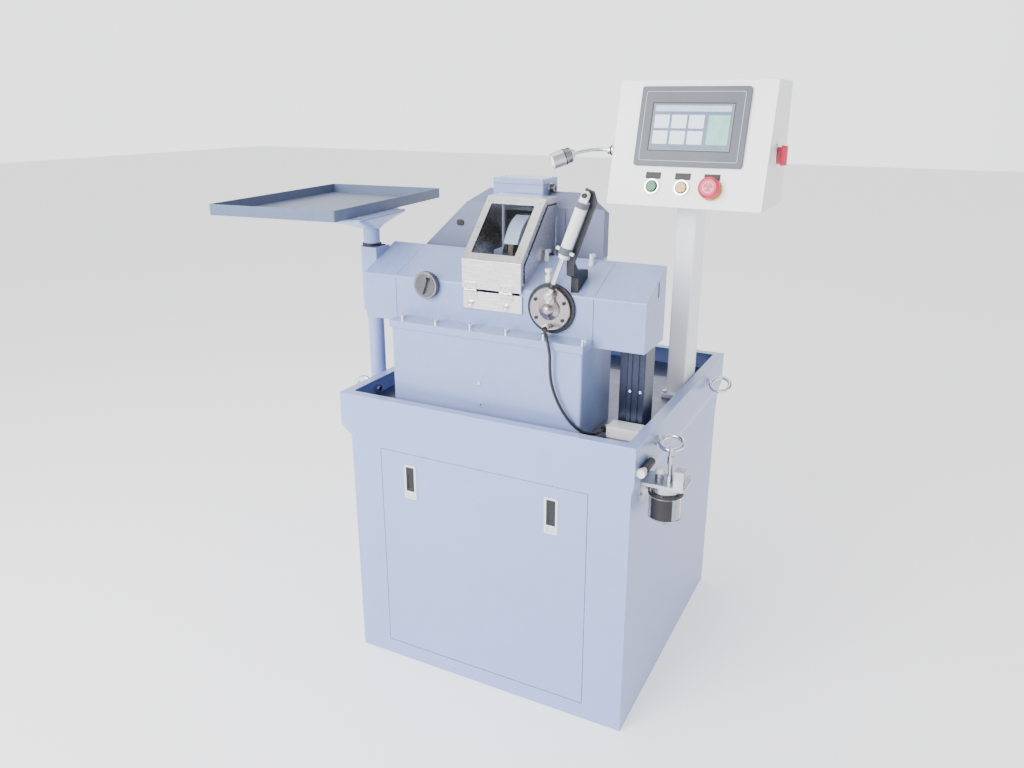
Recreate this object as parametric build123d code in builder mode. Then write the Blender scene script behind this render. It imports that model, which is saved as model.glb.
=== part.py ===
from build123d import *

import os
from math import asin, atan2, cos, hypot, pi, radians, sin, tan

# Lens centering machine. Origin: centre of the cabinet's footprint on the floor. +X right, +Y back, +Z up.

# Fits and gaps
RUN = 0.05          # radial running clearance of a shaft in its bore
AIR = 0.3           # clearance between pieces that move past each other
SHEET = 2.0         # cabinet and guard sheet

# Cabinet
BODY_WIDTH = 600.0
BODY_DEPTH = 600.0
RIM_TOP = 590.0
RIM_BAND = 71.0
FLARE_LEFT = 24.0
FLARE_RIGHT = 5.0
FLARE_BACK = 23.0
SLOPE_SIDE = 19.0
SLOPE_BACK = 64.0
RIM_FLANGE = 20.0
LEFT = -BODY_WIDTH / 2
RIGHT = BODY_WIDTH / 2
FRONT = -BODY_DEPTH / 2
BACK = BODY_DEPTH / 2
RIM_LEFT = LEFT - FLARE_LEFT
RIM_RIGHT = RIGHT + FLARE_RIGHT
RIM_BACK = BACK + FLARE_BACK
RIM_FOOT = RIM_TOP - RIM_BAND

# Service door and its latches
DOOR_X = -4.5
DOOR_WIDTH = 448.0
DOOR_BOTTOM = 35.7
DOOR_HEIGHT = 449.0
DOOR_GAP = 1.0
DOOR_FOOT_GAP = 2.0
DOOR_FOLD = 16.0
JAMB = 20.0
STOP = 12.0
HINGE_INSET = 3.5
HINGE_PIN_R = 2.0
HINGE_PIN_LENGTH = 7.0
DOOR_LEFT = DOOR_X - DOOR_WIDTH / 2
DOOR_RIGHT = DOOR_X + DOOR_WIDTH / 2
DOOR_TOP = DOOR_BOTTOM + DOOR_HEIGHT
LATCH_XS = (-160.0, 148.5)
LATCH_DROP = 60.2
LATCH_Z = DOOR_TOP - LATCH_DROP
LATCH_WIDTH = 28.0
LATCH_HEIGHT = 73.0
LATCH_LIP = 2.0
LATCH_FACE = 1.2
LATCH_BODY = 20.0
LEVER_WIDTH = 18.0
LEVER_HEIGHT = 50.4
LEVER_THICK = 3.0
LEVER_TOP = 31.4
LEVER_PIN_R = 1.5
LEVER_PIN_DROP = 2.4
BUTTON_WIDTH = 13.4
BUTTON_HEIGHT = 11.0
BUTTON_Z = -27.0
BUTTON_TRAVEL = 3.0

# Trough, bed and supports
FLOOR_TOP = 548.0
BED_THICK = 10.0
BED_TOP = FLOOR_TOP + BED_THICK
BED_LEFT = LEFT + 10.0
BED_RIGHT = RIGHT - 14.0
BED_FRONT = -215.0
BED_BACK = 185.0
PORTAL_YS = (-140.0, 80.0)
PORTAL = 40.0
PORTAL_WALL = 3.0
DRAIN = (-180.0, 140.0)
DRAIN_R = 18.0

# Eye bolts
EYE_Y = 181.0
EYE_Z = 561.0
EYE_RING_R = 20.5
EYE_BAR_R = 4.3
EYE_SHANK_R = 6.0
EYE_REACH = 28.0
EYE_TILTS = {(1, -1): 17.0, (1, 1): 29.0, (-1, -1): 90.0, (-1, 1): 90.0}

# Pedestal
PED_LEFT = -226.0
PED_RIGHT = 180.0
PED_FRONT = -248.0
PED_BACK = -97.0
PED_TOP = 727.0
PED_WALL = 8.0
CAP_THICK = 14.0
CAP_OVERHANG = 3.0
CAP_FRONT = PED_FRONT - 4.0
CAP_SCREW_Y = -228.0
CAP_SCREW_X = -211.0
CAP_SCREW_PITCH = 77.0
CAP_SCREW_R = 6.5
CAP_SCREW_HEAD = 7.0

# Beam
BEAM_FRONT = -204.0
BEAM_BACK = -95.0
BEAM_BOTTOM = PED_TOP
BEAM_RIDGE = 819.0
BEAM_SLOPE = 0.434
BEAM_WALL = 10.0
BEAM_LEFT = -318.0
BEAM_SEAM_LEFT = -242.0
BEAM_SEAM_RIGHT = 182.0
BEAM_RIGHT = 280.0
POCKET_TOP = 762.0
CHAMBER_LEFT = -78.0
CHAMBER_RIGHT = 35.0
CHAMBER_FLOOR = 770.0
CHAMBER_LIP = 800.0

# Lens spindles
SPINDLE_Y = -150.0
SPINDLE_Z = 812.0
LEFT_SPINDLE_R = 10.0
CHUCK_R = 9.0
LENS_FACE = -26.0
LENS_R = 20.0
LENS_THICK = 8.0
LENS_EDGE = 4.0
QUILL_R = 14.0
QUILL_LEFT = 36.0
QUILL_LENGTH = 130.0
RIGHT_SPINDLE_R = 6.0
MOTOR_R = 24.0

# Rack and pinion that clamps the lens
MODULE = 1.25
TEETH = 16
PITCH_R = MODULE * TEETH / 2
ADDENDUM = 1.0
DEDENDUM = 1.5
BACKLASH = 0.55
FLANK = tan(radians(20))
CRANK_X = 101.0
CRANK_Z = 792.0
CRANK_RANGE = 40.0
CRANK_R = 27.0
CRANK_LEAN = 8.0
CRANK_SHAFT_R = 7.0
PINION_WIDTH = 14.0
FLANGE_R = 46.0
FLANGE_THICK = 5.0
FACE_R = 40.0
FACE_THICK = 7.0
SLEEVE_R = 12.0
SLEEVE_LENGTH = 42.0
CLAMP_TRAVEL = PITCH_R * radians(CRANK_RANGE)

# Air cylinder over the crank
CYL_Y = -228.0
REAR_X = 171.0
REAR_Z = 1000.0
BARREL_R = 10.0
BARREL_START = 82.0
BARREL_END = 181.0
ROD_R = 4.5
EYE_R = 8.0
EYE_THICK = 8.0
REAR_PIN_R = 2.5

# Adjuster, hood and guard
KNOB_X = -165.0
KNOB_Z = 809.0
KNOB_R = 26.5
HOOD_LEFT = -84.0
HOOD_RIGHT = 41.0
HOOD_FRONT = -212.0
HOOD_HINGE_Z = 810.0
HOOD_BEND_Z = 868.0
HOOD_TOP = 975.0
HOOD_BACK = -56.0
HOOD_SIDE = 12.0
HINGE_XS = (-66.0, 10.0)
HINGE_R = 2.6
HINGE_WIDTH = 26.0
LEAF_THICK = 1.5
LEAF_REACH = 16.0
HOOD_PIN_R = 1.2
PLATE_BOTTOM = 773.0
PLATE_THICK = 4.0
GUARD_FRONT = -50.0
GUARD_BACK = 120.0
GUARD_FOOT = 832.0
GUARD_LEFT = -268.0
GUARD_WALL = 84.0
GUARD_RIGHT = 138.0
GUARD_EAVE = 953.0
GUARD_RIDGE = 978.0
GUARD_RIDGE_Y = 0.0
GUARD_REAR = 925.0
GUARD_SIDE_EAVE = 858.0
GUARD_SIDE_RUN = 103.0
GUARD_OPEN_LEFT = -75.0
GUARD_OPEN_RIGHT = 33.0
GUARD_OPEN_TOP = 942.0

# Wheel head
WHEEL_R = 85.0
WHEEL_X = -21.0
WHEEL_THICK = 12.0
WHEEL_Y = -52.0
WHEEL_Z = 852.0
WHEEL_SPINDLE_R = 10.0
COLUMN_TOP = 800.0
WAY_HEIGHT = 8.0
WAY_WIDTH = 30.0
WAY_XS = (-165.0, 65.0)
WAY_CLEAR = 0.1
MOTOR_Y = 70.0
MOTOR_Z = 870.0
WHEEL_MOTOR_R = 36.0

# Tray on its post
POST_X = -345.0
POST_Y = -138.0
POST_R = 17.0
POST_BOTTOM = 510.0
POST_TOP = 898.0
EAR_R = 24.0
EAR_TOP = 862.0
SPIGOT_R = 10.0
SPIGOT = 24.0
TRAY_TOP = 952.0
TRAY_LIP = 22.0
TRAY_TURN = 6.0
TRAY_LEFT = -281.0
TRAY_RIGHT = 13.6
TRAY_FRONT = -155.0
TRAY_BACK = 300.0

# Control post and box
MAST_X = 262.5
MAST_WIDTH = 40.0
MAST_Y = 115.0
MAST_DEPTH = 80.0
MAST_WALL = 3.0
MAST_BASE = 8.0
BOX_LEFT = 118.0
BOX_RIGHT = 418.0
BOX_BOTTOM = 957.0
BOX_TOP = 1189.0
BOX_FRONT_LOW = 9.0
BOX_FRONT_HIGH = 75.0
BOX_BACK = 212.0
PANEL_HEIGHT = hypot(BOX_FRONT_HIGH - BOX_FRONT_LOW, BOX_TOP - BOX_BOTTOM)
BEZEL = (208.0, 0.622 * PANEL_HEIGHT)
BEZEL_CENTRE = (BOX_LEFT + 150.5, 0.6343 * PANEL_HEIGHT)
BEZEL_THICK = 6.0
SCREEN = (155.0, 0.365 * PANEL_HEIGHT)
SCREEN_CENTRE = (BOX_LEFT + 150.0, 0.63 * PANEL_HEIGHT)
BUTTON_S = 0.1617 * PANEL_HEIGHT
BUTTON_XS = (206.6, 264.6, 320.4)
BUTTON_R = 10.0
BUTTON_RING_R = 14.75
PANEL_STROKE = 3.0
SWITCH_Y = 106.0
SWITCH_Z = 1054.0

# Air filter and hand slide valve
FILTER_X = RIGHT + 43.0
FILTER_Y = -235.0
FILTER_ARM_Z = 506.0
BOWL_R = 30.0
BOWL_HEIGHT = 56.0
BOWL_TOP = FILTER_ARM_Z - 14.0
VALVE_X = RIM_RIGHT + 8.0
VALVE_Y = -258.0
VALVE_Z = 542.0
VALVE_R = 8.0

# Air hose
HOSE_R = 2.75
HOSE_ROUTE = [
    (99.0, -231.0, 757.0),
    (105.0, -243.5, 755.5),
    (113.5, -255.0, 749.0),
    (121.0, -261.0, 736.0),
    (124.0, -260.5, 718.0),
    (123.0, -259.0, 696.0),
    (125.5, -258.0, 668.0),
    (134.0, -257.0, 641.0),
    (148.5, -256.5, 615.0),
    (167.0, -256.0, 593.5),
    (186.0, -249.0, 579.0),
    (199.0, -231.0, 571.5),
    (205.5, -210.0, 569.0),
    (206.5, -192.0, 569.0),
]


def at_x(x):
    """Plane across X at x: its own axes are Y and Z, and it extrudes towards +X."""
    return Plane.YZ.offset(x)


def at_y(y):
    """Plane across Y at y: its own axes are X and Z, and it extrudes towards the front."""
    return Plane.XZ.offset(-y)


def at_z(z):
    """Level plane at height z."""
    return Plane.XY.offset(z)


def block(xs, ys, zs, mode=Mode.ADD):
    """A block between two corners, for the part block that is open."""
    middle = ((xs[0] + xs[1]) / 2, (ys[0] + ys[1]) / 2, (zs[0] + zs[1]) / 2)
    with Locations(middle):
        Box(xs[1] - xs[0], ys[1] - ys[0], zs[1] - zs[0], mode=mode)


def bar(start, end, radius, mode=Mode.ADD):
    """A round bar or bore between two points, for the part block that is open."""
    run = Vector(*end) - Vector(*start)
    with Locations(Plane(origin=start, z_dir=run)):
        Cylinder(radius, run.length, align=(Align.CENTER, Align.CENTER, Align.MIN), mode=mode)


def save(part, name):
    """Label a finished piece and write it."""
    part.label = name
    export_step(part, f"parts/{name}.step")


def save_group(parts, name):
    """Write several separate pieces as one node."""
    group = Compound(label=name, children=list(parts))
    export_step(group, f"parts/{name}.step")


os.makedirs("parts", exist_ok=True)


# Cabinet shell: a folded box whose rim flares out to the left and the back
def tub_form(inset):
    with BuildPart() as form:
        with BuildSketch(Plane.XZ):
            with BuildLine():
                Polyline(
                    (LEFT, 0), (RIGHT, 0), (RIGHT, RIM_FOOT - SLOPE_SIDE), (RIM_RIGHT, RIM_FOOT),
                    (RIM_RIGHT, RIM_TOP), (RIM_LEFT, RIM_TOP), (RIM_LEFT, RIM_FOOT),
                    (LEFT, RIM_FOOT - SLOPE_SIDE), close=True,
                )
            make_face()
            if inset:
                offset(amount=-inset, kind=Kind.INTERSECTION)
        extrude(amount=2 * BODY_DEPTH, both=True)
        with BuildSketch(Plane.YZ):
            with BuildLine():
                Polyline(
                    (FRONT, 0), (BACK, 0), (BACK, RIM_FOOT - SLOPE_BACK), (RIM_BACK, RIM_FOOT),
                    (RIM_BACK, RIM_TOP), (FRONT, RIM_TOP), close=True,
                )
            make_face()
            if inset:
                offset(amount=-inset, kind=Kind.INTERSECTION)
        extrude(amount=2 * BODY_WIDTH, both=True, mode=Mode.INTERSECT)
    return form.part


opening_width = DOOR_WIDTH + 2 * DOOR_GAP
opening_height = DOOR_HEIGHT + DOOR_GAP + DOOR_FOOT_GAP
opening_z = DOOR_BOTTOM - DOOR_FOOT_GAP + opening_height / 2
hinge_y = FRONT + HINGE_INSET
hinge_z = DOOR_BOTTOM + HINGE_INSET

with BuildPart() as cabinet_shell:
    add(tub_form(0))
    add(tub_form(SHEET), mode=Mode.SUBTRACT)
    with BuildSketch(at_z(RIM_TOP - SHEET)):
        with Locations(((RIM_LEFT + RIM_RIGHT) / 2, (FRONT + RIM_BACK) / 2)):
            RectangleRounded(RIM_RIGHT - RIM_LEFT - 2 * RIM_FLANGE, RIM_BACK - FRONT - 2 * RIM_FLANGE, 6)
    extrude(amount=SHEET, mode=Mode.SUBTRACT)
    with BuildSketch(at_y(FRONT + SHEET)):
        with Locations((DOOR_X, opening_z)):
            Rectangle(opening_width, opening_height)
    extrude(amount=SHEET, mode=Mode.SUBTRACT)
    with BuildSketch(at_y(FRONT + JAMB)):
        with Locations((DOOR_X, opening_z)):
            Rectangle(opening_width + 2 * SHEET, opening_height + 2 * SHEET)
            Rectangle(opening_width, opening_height, mode=Mode.SUBTRACT)
    extrude(amount=JAMB - SHEET)
    with BuildSketch(at_y(FRONT + JAMB)):
        with Locations((DOOR_X, opening_z)):
            Rectangle(opening_width, opening_height)
            Rectangle(opening_width - 2 * STOP, opening_height - 2 * STOP, mode=Mode.SUBTRACT)
    extrude(amount=SHEET)
    for jamb, tip in (
        (DOOR_LEFT - DOOR_GAP, DOOR_LEFT + HINGE_PIN_LENGTH),
        (DOOR_RIGHT + DOOR_GAP, DOOR_RIGHT - HINGE_PIN_LENGTH),
    ):
        bar((jamb, hinge_y, hinge_z), (tip, hinge_y, hinge_z), HINGE_PIN_R)
    for side in (-1, 1):
        wall = RIM_RIGHT if side > 0 else RIM_LEFT
        for y in (-EYE_Y, EYE_Y):
            inside = (wall - side * 2 * SHEET, y, EYE_Z)
            bar(inside, (wall + side * SHEET, y, EYE_Z), EYE_SHANK_R + AIR, Mode.SUBTRACT)
save(cabinet_shell.part, "cabinet_shell")

# Service door: a folded panel that drops open about its lower front edge
with BuildPart() as door_panel:
    with BuildSketch(at_y(FRONT + DOOR_FOLD)):
        with Locations((DOOR_X, DOOR_BOTTOM + DOOR_HEIGHT / 2)):
            Rectangle(DOOR_WIDTH, DOOR_HEIGHT)
    extrude(amount=DOOR_FOLD)
    with BuildSketch(at_y(FRONT + DOOR_FOLD)):
        with Locations((DOOR_X, DOOR_BOTTOM + DOOR_HEIGHT / 2)):
            Rectangle(DOOR_WIDTH - 2 * SHEET, DOOR_HEIGHT - 2 * SHEET)
    extrude(amount=DOOR_FOLD - SHEET, mode=Mode.SUBTRACT)
    with BuildSketch(at_y(FRONT + SHEET)):
        with Locations(*[(x, LATCH_Z) for x in LATCH_XS]):
            Rectangle(LATCH_WIDTH - 2 * LATCH_LIP, LATCH_HEIGHT - 2 * LATCH_LIP)
    extrude(amount=SHEET, mode=Mode.SUBTRACT)
    pin_bore = HINGE_PIN_LENGTH + AIR
    for edge, end in ((DOOR_LEFT, DOOR_LEFT + pin_bore), (DOOR_RIGHT, DOOR_RIGHT - pin_bore)):
        bar((edge, hinge_y, hinge_z), (end, hinge_y, hinge_z), HINGE_PIN_R + RUN, Mode.SUBTRACT)
save(door_panel.part, "door_panel")


# Flush latches: frame, paddle lever and push button
lever_pin_z = LATCH_Z + LEVER_TOP - LEVER_PIN_DROP
lever_pin_y = FRONT + LEVER_THICK / 2 + 0.1
lever_mid = LATCH_Z + LEVER_TOP - LEVER_HEIGHT / 2


def latch_frame(x):
    body_width = LATCH_WIDTH - 2 * LATCH_LIP
    with BuildPart() as frame:
        with BuildSketch(at_y(FRONT)):
            with Locations((x, LATCH_Z)):
                RectangleRounded(LATCH_WIDTH, LATCH_HEIGHT, 3)
        extrude(amount=LATCH_FACE)
        with BuildSketch(at_y(FRONT + LATCH_BODY)):
            with Locations((x, LATCH_Z)):
                Rectangle(body_width, LATCH_HEIGHT - 2 * LATCH_LIP)
        extrude(amount=LATCH_BODY)
        with BuildSketch(at_y(FRONT + 2 * LEVER_THICK)):
            with Locations((x, lever_mid + 0.5)):
                Rectangle(LEVER_WIDTH + 2 * AIR, LEVER_HEIGHT + 1.6)
        extrude(amount=2 * LEVER_THICK + LATCH_FACE, mode=Mode.SUBTRACT)
        with BuildSketch(at_y(FRONT + LATCH_BODY / 2)):
            with Locations((x, LATCH_Z + BUTTON_Z)):
                Rectangle(BUTTON_WIDTH + 2 * AIR, BUTTON_HEIGHT + 2 * AIR)
        extrude(amount=LATCH_BODY, mode=Mode.SUBTRACT)
        half = body_width / 2
        pin_start = (x - half, lever_pin_y, lever_pin_z)
        bar(pin_start, (x + half, lever_pin_y, lever_pin_z), LEVER_PIN_R + RUN, Mode.SUBTRACT)
    return frame.part


def latch_lever(x):
    with BuildPart() as lever:
        with BuildSketch(at_y(lever_pin_y + LEVER_THICK / 2)):
            with Locations((x, lever_mid)):
                RectangleRounded(LEVER_WIDTH, LEVER_HEIGHT, 1.5)
        extrude(amount=LEVER_THICK)
        with BuildSketch(at_y(lever_pin_y - LEVER_THICK / 2)):
            with Locations((x, lever_mid - 4)):
                RectangleRounded(LEVER_WIDTH - 6, LEVER_HEIGHT - 18, 3)
        extrude(amount=-LEVER_THICK / 3, mode=Mode.SUBTRACT)
        reach = LATCH_WIDTH / 2 - LATCH_LIP - AIR
        bar((x - reach, lever_pin_y, lever_pin_z), (x + reach, lever_pin_y, lever_pin_z), LEVER_PIN_R)
    return lever.part


def latch_button(x):
    with BuildPart() as button:
        with BuildSketch(at_y(FRONT + LATCH_BODY / 2 - BUTTON_TRAVEL - AIR)):
            with Locations((x, LATCH_Z + BUTTON_Z)):
                RectangleRounded(BUTTON_WIDTH, BUTTON_HEIGHT, 1)
        extrude(amount=LATCH_BODY / 2 - BUTTON_TRAVEL - AIR + LATCH_FACE)
        chamfer(button.faces().sort_by(Axis.Y)[0].edges(), 0.6)
    return button.part


save_group([latch_frame(x) for x in LATCH_XS], "latch_frames")
for side, x in zip(("left", "right"), LATCH_XS):
    save(latch_lever(x), f"latch_lever_{side}")
    save(latch_button(x), f"latch_button_{side}")


# Trough floor on two portal frames of channel
def portal(y):
    with BuildPart() as frame:
        for inset, mode in ((0, Mode.ADD), (PORTAL_WALL, Mode.SUBTRACT)):
            with BuildSketch(at_y(y + PORTAL)):
                with BuildLine():
                    span = BODY_WIDTH / 2 - SHEET - inset
                    inner = BODY_WIDTH / 2 - SHEET - PORTAL + inset
                    top = FLOOR_TOP - SHEET - inset
                    low = FLOOR_TOP - SHEET - PORTAL + inset
                    base = SHEET + inset
                    Polyline(
                        (-span, base), (-inner, base), (-inner, low), (inner, low), (inner, base),
                        (span, base), (span, top), (-span, top), close=True,
                    )
                make_face()
            extrude(amount=PORTAL - inset, mode=mode)
    return frame.part


with BuildPart() as trough_floor:
    floor_xs = (RIM_LEFT + SHEET, RIM_RIGHT - SHEET)
    block(floor_xs, (FRONT + SHEET, RIM_BACK - SHEET), (FLOOR_TOP - SHEET, FLOOR_TOP))
    bar((*DRAIN, FLOOR_TOP - PORTAL), (*DRAIN, FLOOR_TOP), DRAIN_R + SHEET)
    bar((*DRAIN, FLOOR_TOP - PORTAL), (*DRAIN, FLOOR_TOP), DRAIN_R, Mode.SUBTRACT)
save_group([trough_floor.part, *[portal(y) for y in PORTAL_YS]], "trough_frame")

with BuildPart() as bed_plate:
    with BuildSketch(at_z(FLOOR_TOP)):
        with Locations(((BED_LEFT + BED_RIGHT) / 2, (BED_FRONT + BED_BACK) / 2)):
            RectangleRounded(BED_RIGHT - BED_LEFT, BED_BACK - BED_FRONT, 8)
    extrude(amount=BED_THICK)
    bar((*DRAIN, FLOOR_TOP), (*DRAIN, BED_TOP), DRAIN_R, Mode.SUBTRACT)
save(bed_plate.part, "bed_plate")


# Eye bolts through the rim, nut inside
def eye_bolt(side, y, tilt):
    wall = RIM_RIGHT if side > 0 else RIM_LEFT
    centre = wall + side * EYE_REACH
    with BuildPart() as eye:
        with Locations(Location((centre, y, EYE_Z), (tilt, 0, 0))):
            Torus(EYE_RING_R, EYE_BAR_R)
        bar((wall, y, EYE_Z), (wall + side * 4, y, EYE_Z), 1.7 * EYE_SHANK_R)
        bar((wall, y, EYE_Z), (centre - side * EYE_RING_R, y, EYE_Z), 0.8 * EYE_SHANK_R)
        bar((wall, y, EYE_Z), (wall - side * 13, y, EYE_Z), EYE_SHANK_R)
        nut_face = wall - side * SHEET
        with BuildSketch(Plane(origin=(nut_face, y, EYE_Z), z_dir=(-side, 0, 0))):
            RegularPolygon(1.65 * EYE_SHANK_R, 6)
        extrude(amount=1.5 * EYE_SHANK_R)
    return eye.part


save_group([eye_bolt(s, e * EYE_Y, tilt) for (s, e), tilt in EYE_TILTS.items()], "eye_bolts")

# Coolant tank under the drain, with its immersion pump
TANK = ((-230.0, 90.0), (-90.0, 180.0), (SHEET, 222.0))
PUMP_X = 25.0
PUMP_Y = 45.0
with BuildPart() as tank:
    block(*TANK)
    inside = [(low + SHEET, high - SHEET) for low, high in TANK]
    block(inside[0], inside[1], (2 * SHEET, TANK[2][1]), Mode.SUBTRACT)
    block((PUMP_X - 55, TANK[0][1]), TANK[1], (TANK[2][1], TANK[2][1] + 3))
    bar((PUMP_X, PUMP_Y, TANK[2][1]), (PUMP_X, PUMP_Y, TANK[2][1] + 3), 26, Mode.SUBTRACT)
with BuildPart() as pump:
    base = TANK[2][1] + 3
    with BuildSketch(Plane.XZ.offset(-PUMP_Y)):
        with BuildLine():
            Polyline(
                (PUMP_X, 30), (PUMP_X + 25, 30), (PUMP_X + 25, base), (PUMP_X + 48, base),
                (PUMP_X + 48, base + 8), (PUMP_X + 42, base + 8), (PUMP_X + 42, base + 122),
                (PUMP_X + 45, base + 122),
                (PUMP_X + 45, base + 148), (PUMP_X + 38, base + 155), (PUMP_X, base + 155), close=True,
            )
        make_face()
    revolve(axis=Axis((PUMP_X, PUMP_Y, 0), (0, 0, 1)))
save_group([tank.part, pump.part], "coolant_unit")

with BuildPart() as electrics_plate:
    block((100, 250), (BACK - 2 * SHEET, BACK - SHEET), (90, 420))
    for z, depth, width in ((350, 70, 120), (230, 90, 100), (120, 60, 130)):
        block((175 - width / 2, 175 + width / 2), (BACK - 2 * SHEET - depth, BACK - 2 * SHEET), (z, z + 55))
save(electrics_plate.part, "electrics_plate")

# Pedestal with its bolted cap strip
with BuildPart() as pedestal_box:
    block((PED_LEFT, PED_RIGHT), (PED_FRONT, PED_BACK), (BED_TOP, PED_TOP))
    fillet(pedestal_box.edges().filter_by(Axis.Z), 4)
    block(
        (PED_LEFT + PED_WALL, PED_RIGHT - PED_WALL), (PED_FRONT + PED_WALL, PED_BACK - PED_WALL),
        (BED_TOP, PED_TOP - PED_WALL), Mode.SUBTRACT,
    )
save(pedestal_box.part, "pedestal_box")

with BuildPart() as pedestal_cap:
    cap_xs = (PED_LEFT - CAP_OVERHANG, PED_RIGHT + CAP_OVERHANG)
    block(cap_xs, (CAP_FRONT, BEAM_FRONT), (PED_TOP, PED_TOP + CAP_THICK))
    chamfer(pedestal_cap.faces().sort_by(Axis.Z)[-1].edges().sort_by(Axis.Y)[0], 1)
save(pedestal_cap.part, "pedestal_cap")


# Socket screws: cap strip, hood plate and mast base
def socket_screw(plane, radius, head):
    with BuildPart() as screw:
        with BuildSketch(plane):
            Circle(radius)
        extrude(amount=head)
        with BuildSketch(plane.offset(head)):
            RegularPolygon(0.5 * radius, 6)
        extrude(amount=-0.5 * head, mode=Mode.SUBTRACT)
    return screw.part


cap_screws = []
for index in range(6):
    place = (CAP_SCREW_X + index * CAP_SCREW_PITCH, CAP_SCREW_Y, PED_TOP + CAP_THICK)
    cap_screws.append(socket_screw(Plane(origin=place, z_dir=(0, 0, 1)), CAP_SCREW_R, CAP_SCREW_HEAD))
for x in (-68.0, 8.0):
    place = (x, BEAM_FRONT - PLATE_THICK, 782.0)
    cap_screws.append(socket_screw(Plane(origin=place, z_dir=(0, -1, 0)), 6, 5))
MAST_BOLT_XS = (245.0, 278.0)
MAST_BOLT_YS = (62.0, 168.0)
for x in MAST_BOLT_XS:
    for y in MAST_BOLT_YS:
        cap_screws.append(socket_screw(Plane(origin=(x, y, BED_TOP + MAST_BASE), z_dir=(0, 0, 1)), 5, 5))
save_group(cap_screws, "cap_screws")


# Beam: one front-sloped section cast in three lengths
def beam_height(y):
    """Height of the beam's sloping top at y."""
    return BEAM_RIDGE + BEAM_SLOPE * (y - BEAM_FRONT)


def beam_length(x_start, x_end):
    with BuildPart() as length:
        with BuildSketch(at_x(x_start)):
            with BuildLine():
                Polyline(
                    (BEAM_FRONT, BEAM_BOTTOM), (BEAM_BACK, BEAM_BOTTOM), (BEAM_BACK, beam_height(BEAM_BACK)),
                    (BEAM_FRONT, BEAM_RIDGE), close=True,
                )
            make_face()
        extrude(amount=x_end - x_start)
        front_top = length.edges().filter_by(Axis.X).sort_by(Axis.Y)[:2].sort_by(Axis.Z)[-1]
        fillet(front_top, 4)
    return length.part


with BuildPart() as beam:
    add(beam_length(BEAM_SEAM_LEFT, BEAM_SEAM_RIGHT))
    block(
        (BEAM_SEAM_LEFT + BEAM_WALL, BEAM_SEAM_RIGHT - BEAM_WALL),
        (BEAM_FRONT + BEAM_WALL, BEAM_BACK - BEAM_WALL), (BEAM_BOTTOM, POCKET_TOP), Mode.SUBTRACT,
    )
    with BuildSketch(at_x(CHAMBER_LEFT)):
        with BuildLine():
            Polyline(
                (BEAM_FRONT, CHAMBER_LIP), (BEAM_FRONT + BEAM_WALL, CHAMBER_LIP),
                (BEAM_FRONT + BEAM_WALL, CHAMBER_FLOOR), (BEAM_BACK, CHAMBER_FLOOR),
                (BEAM_BACK, HOOD_TOP), (BEAM_FRONT, HOOD_TOP), close=True,
            )
        make_face()
    extrude(amount=CHAMBER_RIGHT - CHAMBER_LEFT, mode=Mode.SUBTRACT)
    left_bore = (BEAM_SEAM_LEFT, SPINDLE_Y, SPINDLE_Z)
    bar(left_bore, (CHAMBER_LEFT, SPINDLE_Y, SPINDLE_Z), LEFT_SPINDLE_R + RUN, Mode.SUBTRACT)
    quill_bore = (CHAMBER_RIGHT, SPINDLE_Y, SPINDLE_Z)
    bar(quill_bore, (BEAM_SEAM_RIGHT, SPINDLE_Y, SPINDLE_Z), QUILL_R + RUN, Mode.SUBTRACT)
    sleeve_end = BEAM_FRONT + SLEEVE_LENGTH
    bar((CRANK_X, BEAM_FRONT, CRANK_Z), (CRANK_X, sleeve_end, CRANK_Z), SLEEVE_R, Mode.SUBTRACT)
    pinion_back = SPINDLE_Y + PINION_WIDTH / 2 + 5
    bar((CRANK_X, sleeve_end, CRANK_Z), (CRANK_X, pinion_back, CRANK_Z), SLEEVE_R + 1, Mode.SUBTRACT)
    bar((KNOB_X, BEAM_FRONT, KNOB_Z), (KNOB_X, BEAM_FRONT + 20, KNOB_Z), 6 + RUN, Mode.SUBTRACT)
save(beam.part, "beam")

with BuildPart() as beam_left_end:
    add(beam_length(BEAM_LEFT, BEAM_SEAM_LEFT))
    with BuildSketch(at_z(BEAM_BOTTOM)):
        with Locations((POST_X, POST_Y)):
            Circle(EAR_R)
        with Locations(((POST_X + BEAM_LEFT) / 2, POST_Y)):
            Rectangle(BEAM_LEFT - POST_X, 2 * EAR_R)
    extrude(amount=EAR_TOP - BEAM_BOTTOM)
    bar((POST_X, POST_Y, BEAM_BOTTOM), (POST_X, POST_Y, EAR_TOP), POST_R, Mode.SUBTRACT)
    motor_end = (BEAM_LEFT + BEAM_WALL, SPINDLE_Y, SPINDLE_Z)
    bar(motor_end, (BEAM_SEAM_LEFT, SPINDLE_Y, SPINDLE_Z), MOTOR_R, Mode.SUBTRACT)
    block(
        (BEAM_LEFT + BEAM_WALL, BEAM_SEAM_LEFT - BEAM_WALL),
        (BEAM_FRONT + BEAM_WALL, BEAM_BACK - BEAM_WALL), (BEAM_BOTTOM, POCKET_TOP), Mode.SUBTRACT,
    )
save(beam_left_end.part, "beam_left_end")

with BuildPart() as beam_right_end:
    add(beam_length(BEAM_SEAM_RIGHT, BEAM_RIGHT))
    with BuildSketch(at_x(BEAM_RIGHT)):
        with Locations(Location((-138.0, 830.0, 0), 90)):
            SlotOverall(30, 9)
    extrude(amount=-15, mode=Mode.SUBTRACT)
save(beam_right_end.part, "beam_right_end")

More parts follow.
